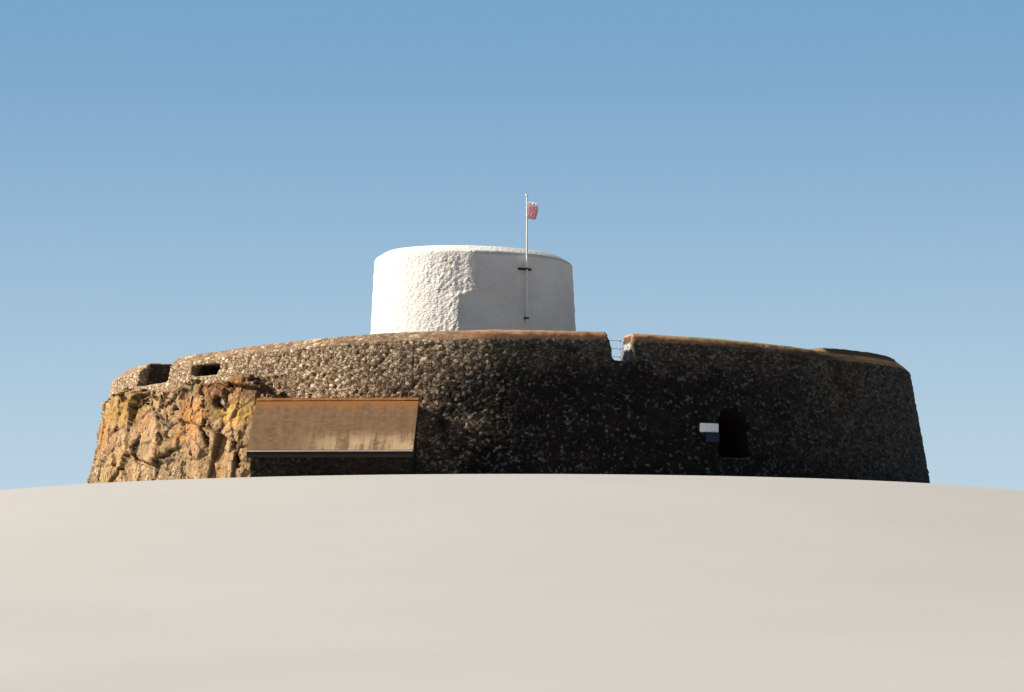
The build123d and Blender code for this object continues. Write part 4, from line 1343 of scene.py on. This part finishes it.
def wall_board(name, foot, width, height, material, slot):
    """A thin sheet in a frame, upright, on two battens cut to the wall's lean."""
    wall = ring_radius - ring_batter * foot
    turn = gate_azimuth - math.degrees((gate_half_width + beside_the_gate + width / 2) / wall)
    front, half, top = -(wall + off_the_wall), width / 2, foot + height
    shape = bmesh.new()
    block(shape, (-half + 0.006, front + 0.006, foot + 0.006),
          (half - 0.006, front + 0.016, top - 0.006), 0.001)
    strips = ((-half, foot, half, foot + board_strip), (-half, top - board_strip, half, top),
              (-half, foot, -half + board_strip, top), (half - board_strip, foot, half, top))
    for low_x, low_z, high_x, high_z in strips:
        block(shape, (low_x, front, low_z), (high_x, front + board_depth, high_z), 0.002)
    for side in (-1, 1):
        x = side * (half - 0.07)
        batten = [(front + 0.016, foot + 0.01), (front + 0.016, top - 0.01),
                  (front + 0.115 + ring_batter * height, top - 0.01), (front + 0.115, foot + 0.01)]
        plate(shape, [(x - batten_half, y, z) for y, z in batten], (2 * batten_half, 0, 0))
        for level in (foot + 0.035, top - 0.035):
            rod(shape, (x, front + 0.008, level), (x, front + 0.002, level), 0.007, 0.005, 12)
    hard_piece(name + "_panel", shape, set_out(turn), material, slot, name)
    print(name, "from", foot, "to", round(top, 3))


wall_board("notice_board", 1.185, 0.50, 0.212, white_paint, "board_paint")
wall_board("lower_board", 0.95, 0.375, 0.225, blue_paint, "blue_paint")

# %% [markdown]
# ## The stage, the light and the camera
# The fort stands on a level base and the viewer is well below it, so the pale floor is level under the
# fort and then falls away in one smooth curve. A low warm sun from the left and a soft blue sky give the
# photograph's light, with harder shadows than a studio's soft light has. The sky that is seen is a plain
# fade from pale to deeper blue, apart from the light it gives. The camera looks up from the place the
# photograph was taken.

# %% Floor
floor_profile = [(0.0, -0.002), (12.9, -0.002), (14.5, -0.06), (18.0, -0.42), (24.0, -1.35), (32.0, -2.75),
                 (40.0, -3.85), (48.0, -4.5), (60.0, -4.8), (90.0, -4.9), (400.0, -5.0)]
floor_sides = 160
shape = bmesh.new()
centre = shape.verts.new((0, 0, floor_profile[0][1]))
rings = []
for radius, height in floor_profile[1:]:
    rings.append([shape.verts.new((radius * math.sin(math.tau * n / floor_sides),
                                   radius * math.cos(math.tau * n / floor_sides), height))
                  for n in range(floor_sides)])
for n in range(floor_sides):
    shape.faces.new((centre, rings[0][n], rings[0][n - 1]))
    for inner, outer in zip(rings, rings[1:]):
        shape.faces.new((inner[n - 1], inner[n], outer[n], outer[n - 1]))
bmesh.ops.recalc_face_normals(shape, faces=shape.faces)
floor_mesh = bpy.data.meshes.new("floor")
shape.to_mesh(floor_mesh)
shape.free()
floor_mesh.shade_smooth()
floor = bpy.data.objects.new("floor", floor_mesh)
bpy.context.scene.collection.objects.link(floor)


def pale_floor(tree):
    colour = mix(noise_of(object_point(tree), 0.2, 3), (0.44, 0.43, 0.41), (0.49, 0.48, 0.46))
    return {"Base Color": colour, "Roughness": 0.95}


floor_mesh.materials.append(new_material("pale_floor", pale_floor))
print("floor out to", floor_profile[-1][0], "m")

# %% Sky
pale_sky, deep_sky = (0.50, 0.615, 0.685), (0.175, 0.335, 0.515)
sky_light, sky_strength = (0.54, 0.72, 1.0, 1), 0.29
world = bpy.data.worlds.new("clear_sky")
bpy.context.scene.world = world
world.use_nodes = True
sky_tree = world.node_tree
sky_tree.nodes.clear()
direction = add_node(sky_tree, "ShaderNodeTexCoord", {}, {}, "Generated")
seen_colour = mix(direction.part(2).smooth(-0.02, 0.24), pale_sky, deep_sky)
lighting = add_node(sky_tree, "ShaderNodeBackground", {}, {"Color": sky_light, "Strength": sky_strength})
seen = add_node(sky_tree, "ShaderNodeBackground", {}, {"Color": seen_colour, "Strength": 1.0})
to_camera = add_node(sky_tree, "ShaderNodeLightPath", {}, {}, "Is Camera Ray")
both = add_node(sky_tree, "ShaderNodeMixShader", {}, {0: to_camera, 1: lighting, 2: seen})
add_node(sky_tree, "ShaderNodeOutputWorld", {}, {0: both})
print("sky lights at", sky_strength)

# %% Sun
sun_azimuth, sun_elevation = math.radians(-90.5), math.radians(33.0)
sun_data = bpy.data.lights.new("sun", "SUN")
sun_data.energy = 6.3
sun_data.color = (1.0, 0.90, 0.76)
sun_data.angle = math.radians(1.5)
sun = bpy.data.objects.new("sun", sun_data)
towards_sun = Vector((math.sin(sun_azimuth), -math.cos(sun_azimuth), 0)) * math.cos(sun_elevation)
towards_sun.z = math.sin(sun_elevation)
sun.rotation_euler = towards_sun.to_track_quat("Z", "Y").to_euler()
bpy.context.scene.collection.objects.link(sun)
bpy.context.scene.view_settings.view_transform = "Standard"
bpy.context.scene.view_settings.look = "Medium High Contrast"
print("sun at", round(math.degrees(sun_azimuth), 1), "round and", round(math.degrees(sun_elevation), 1), "up")

# %% Camera
camera_place = (3.39, -80.5, -3.95)
aim_left, aim_up = 50.5 / 1200, 122 / 1200    # for each metre ahead
camera_data = bpy.data.cameras.new("camera")
camera_data.sensor_width = 36.0
camera_data.lens = 105.9
camera_data.clip_end = 1000.0
camera = bpy.data.objects.new("camera", camera_data)
camera.location = camera_place
camera.rotation_euler = Vector((-aim_left, 1, aim_up)).to_track_quat("-Z", "Y").to_euler()
bpy.context.scene.collection.objects.link(camera)
bpy.context.scene.camera = camera
print("camera at", camera_place)
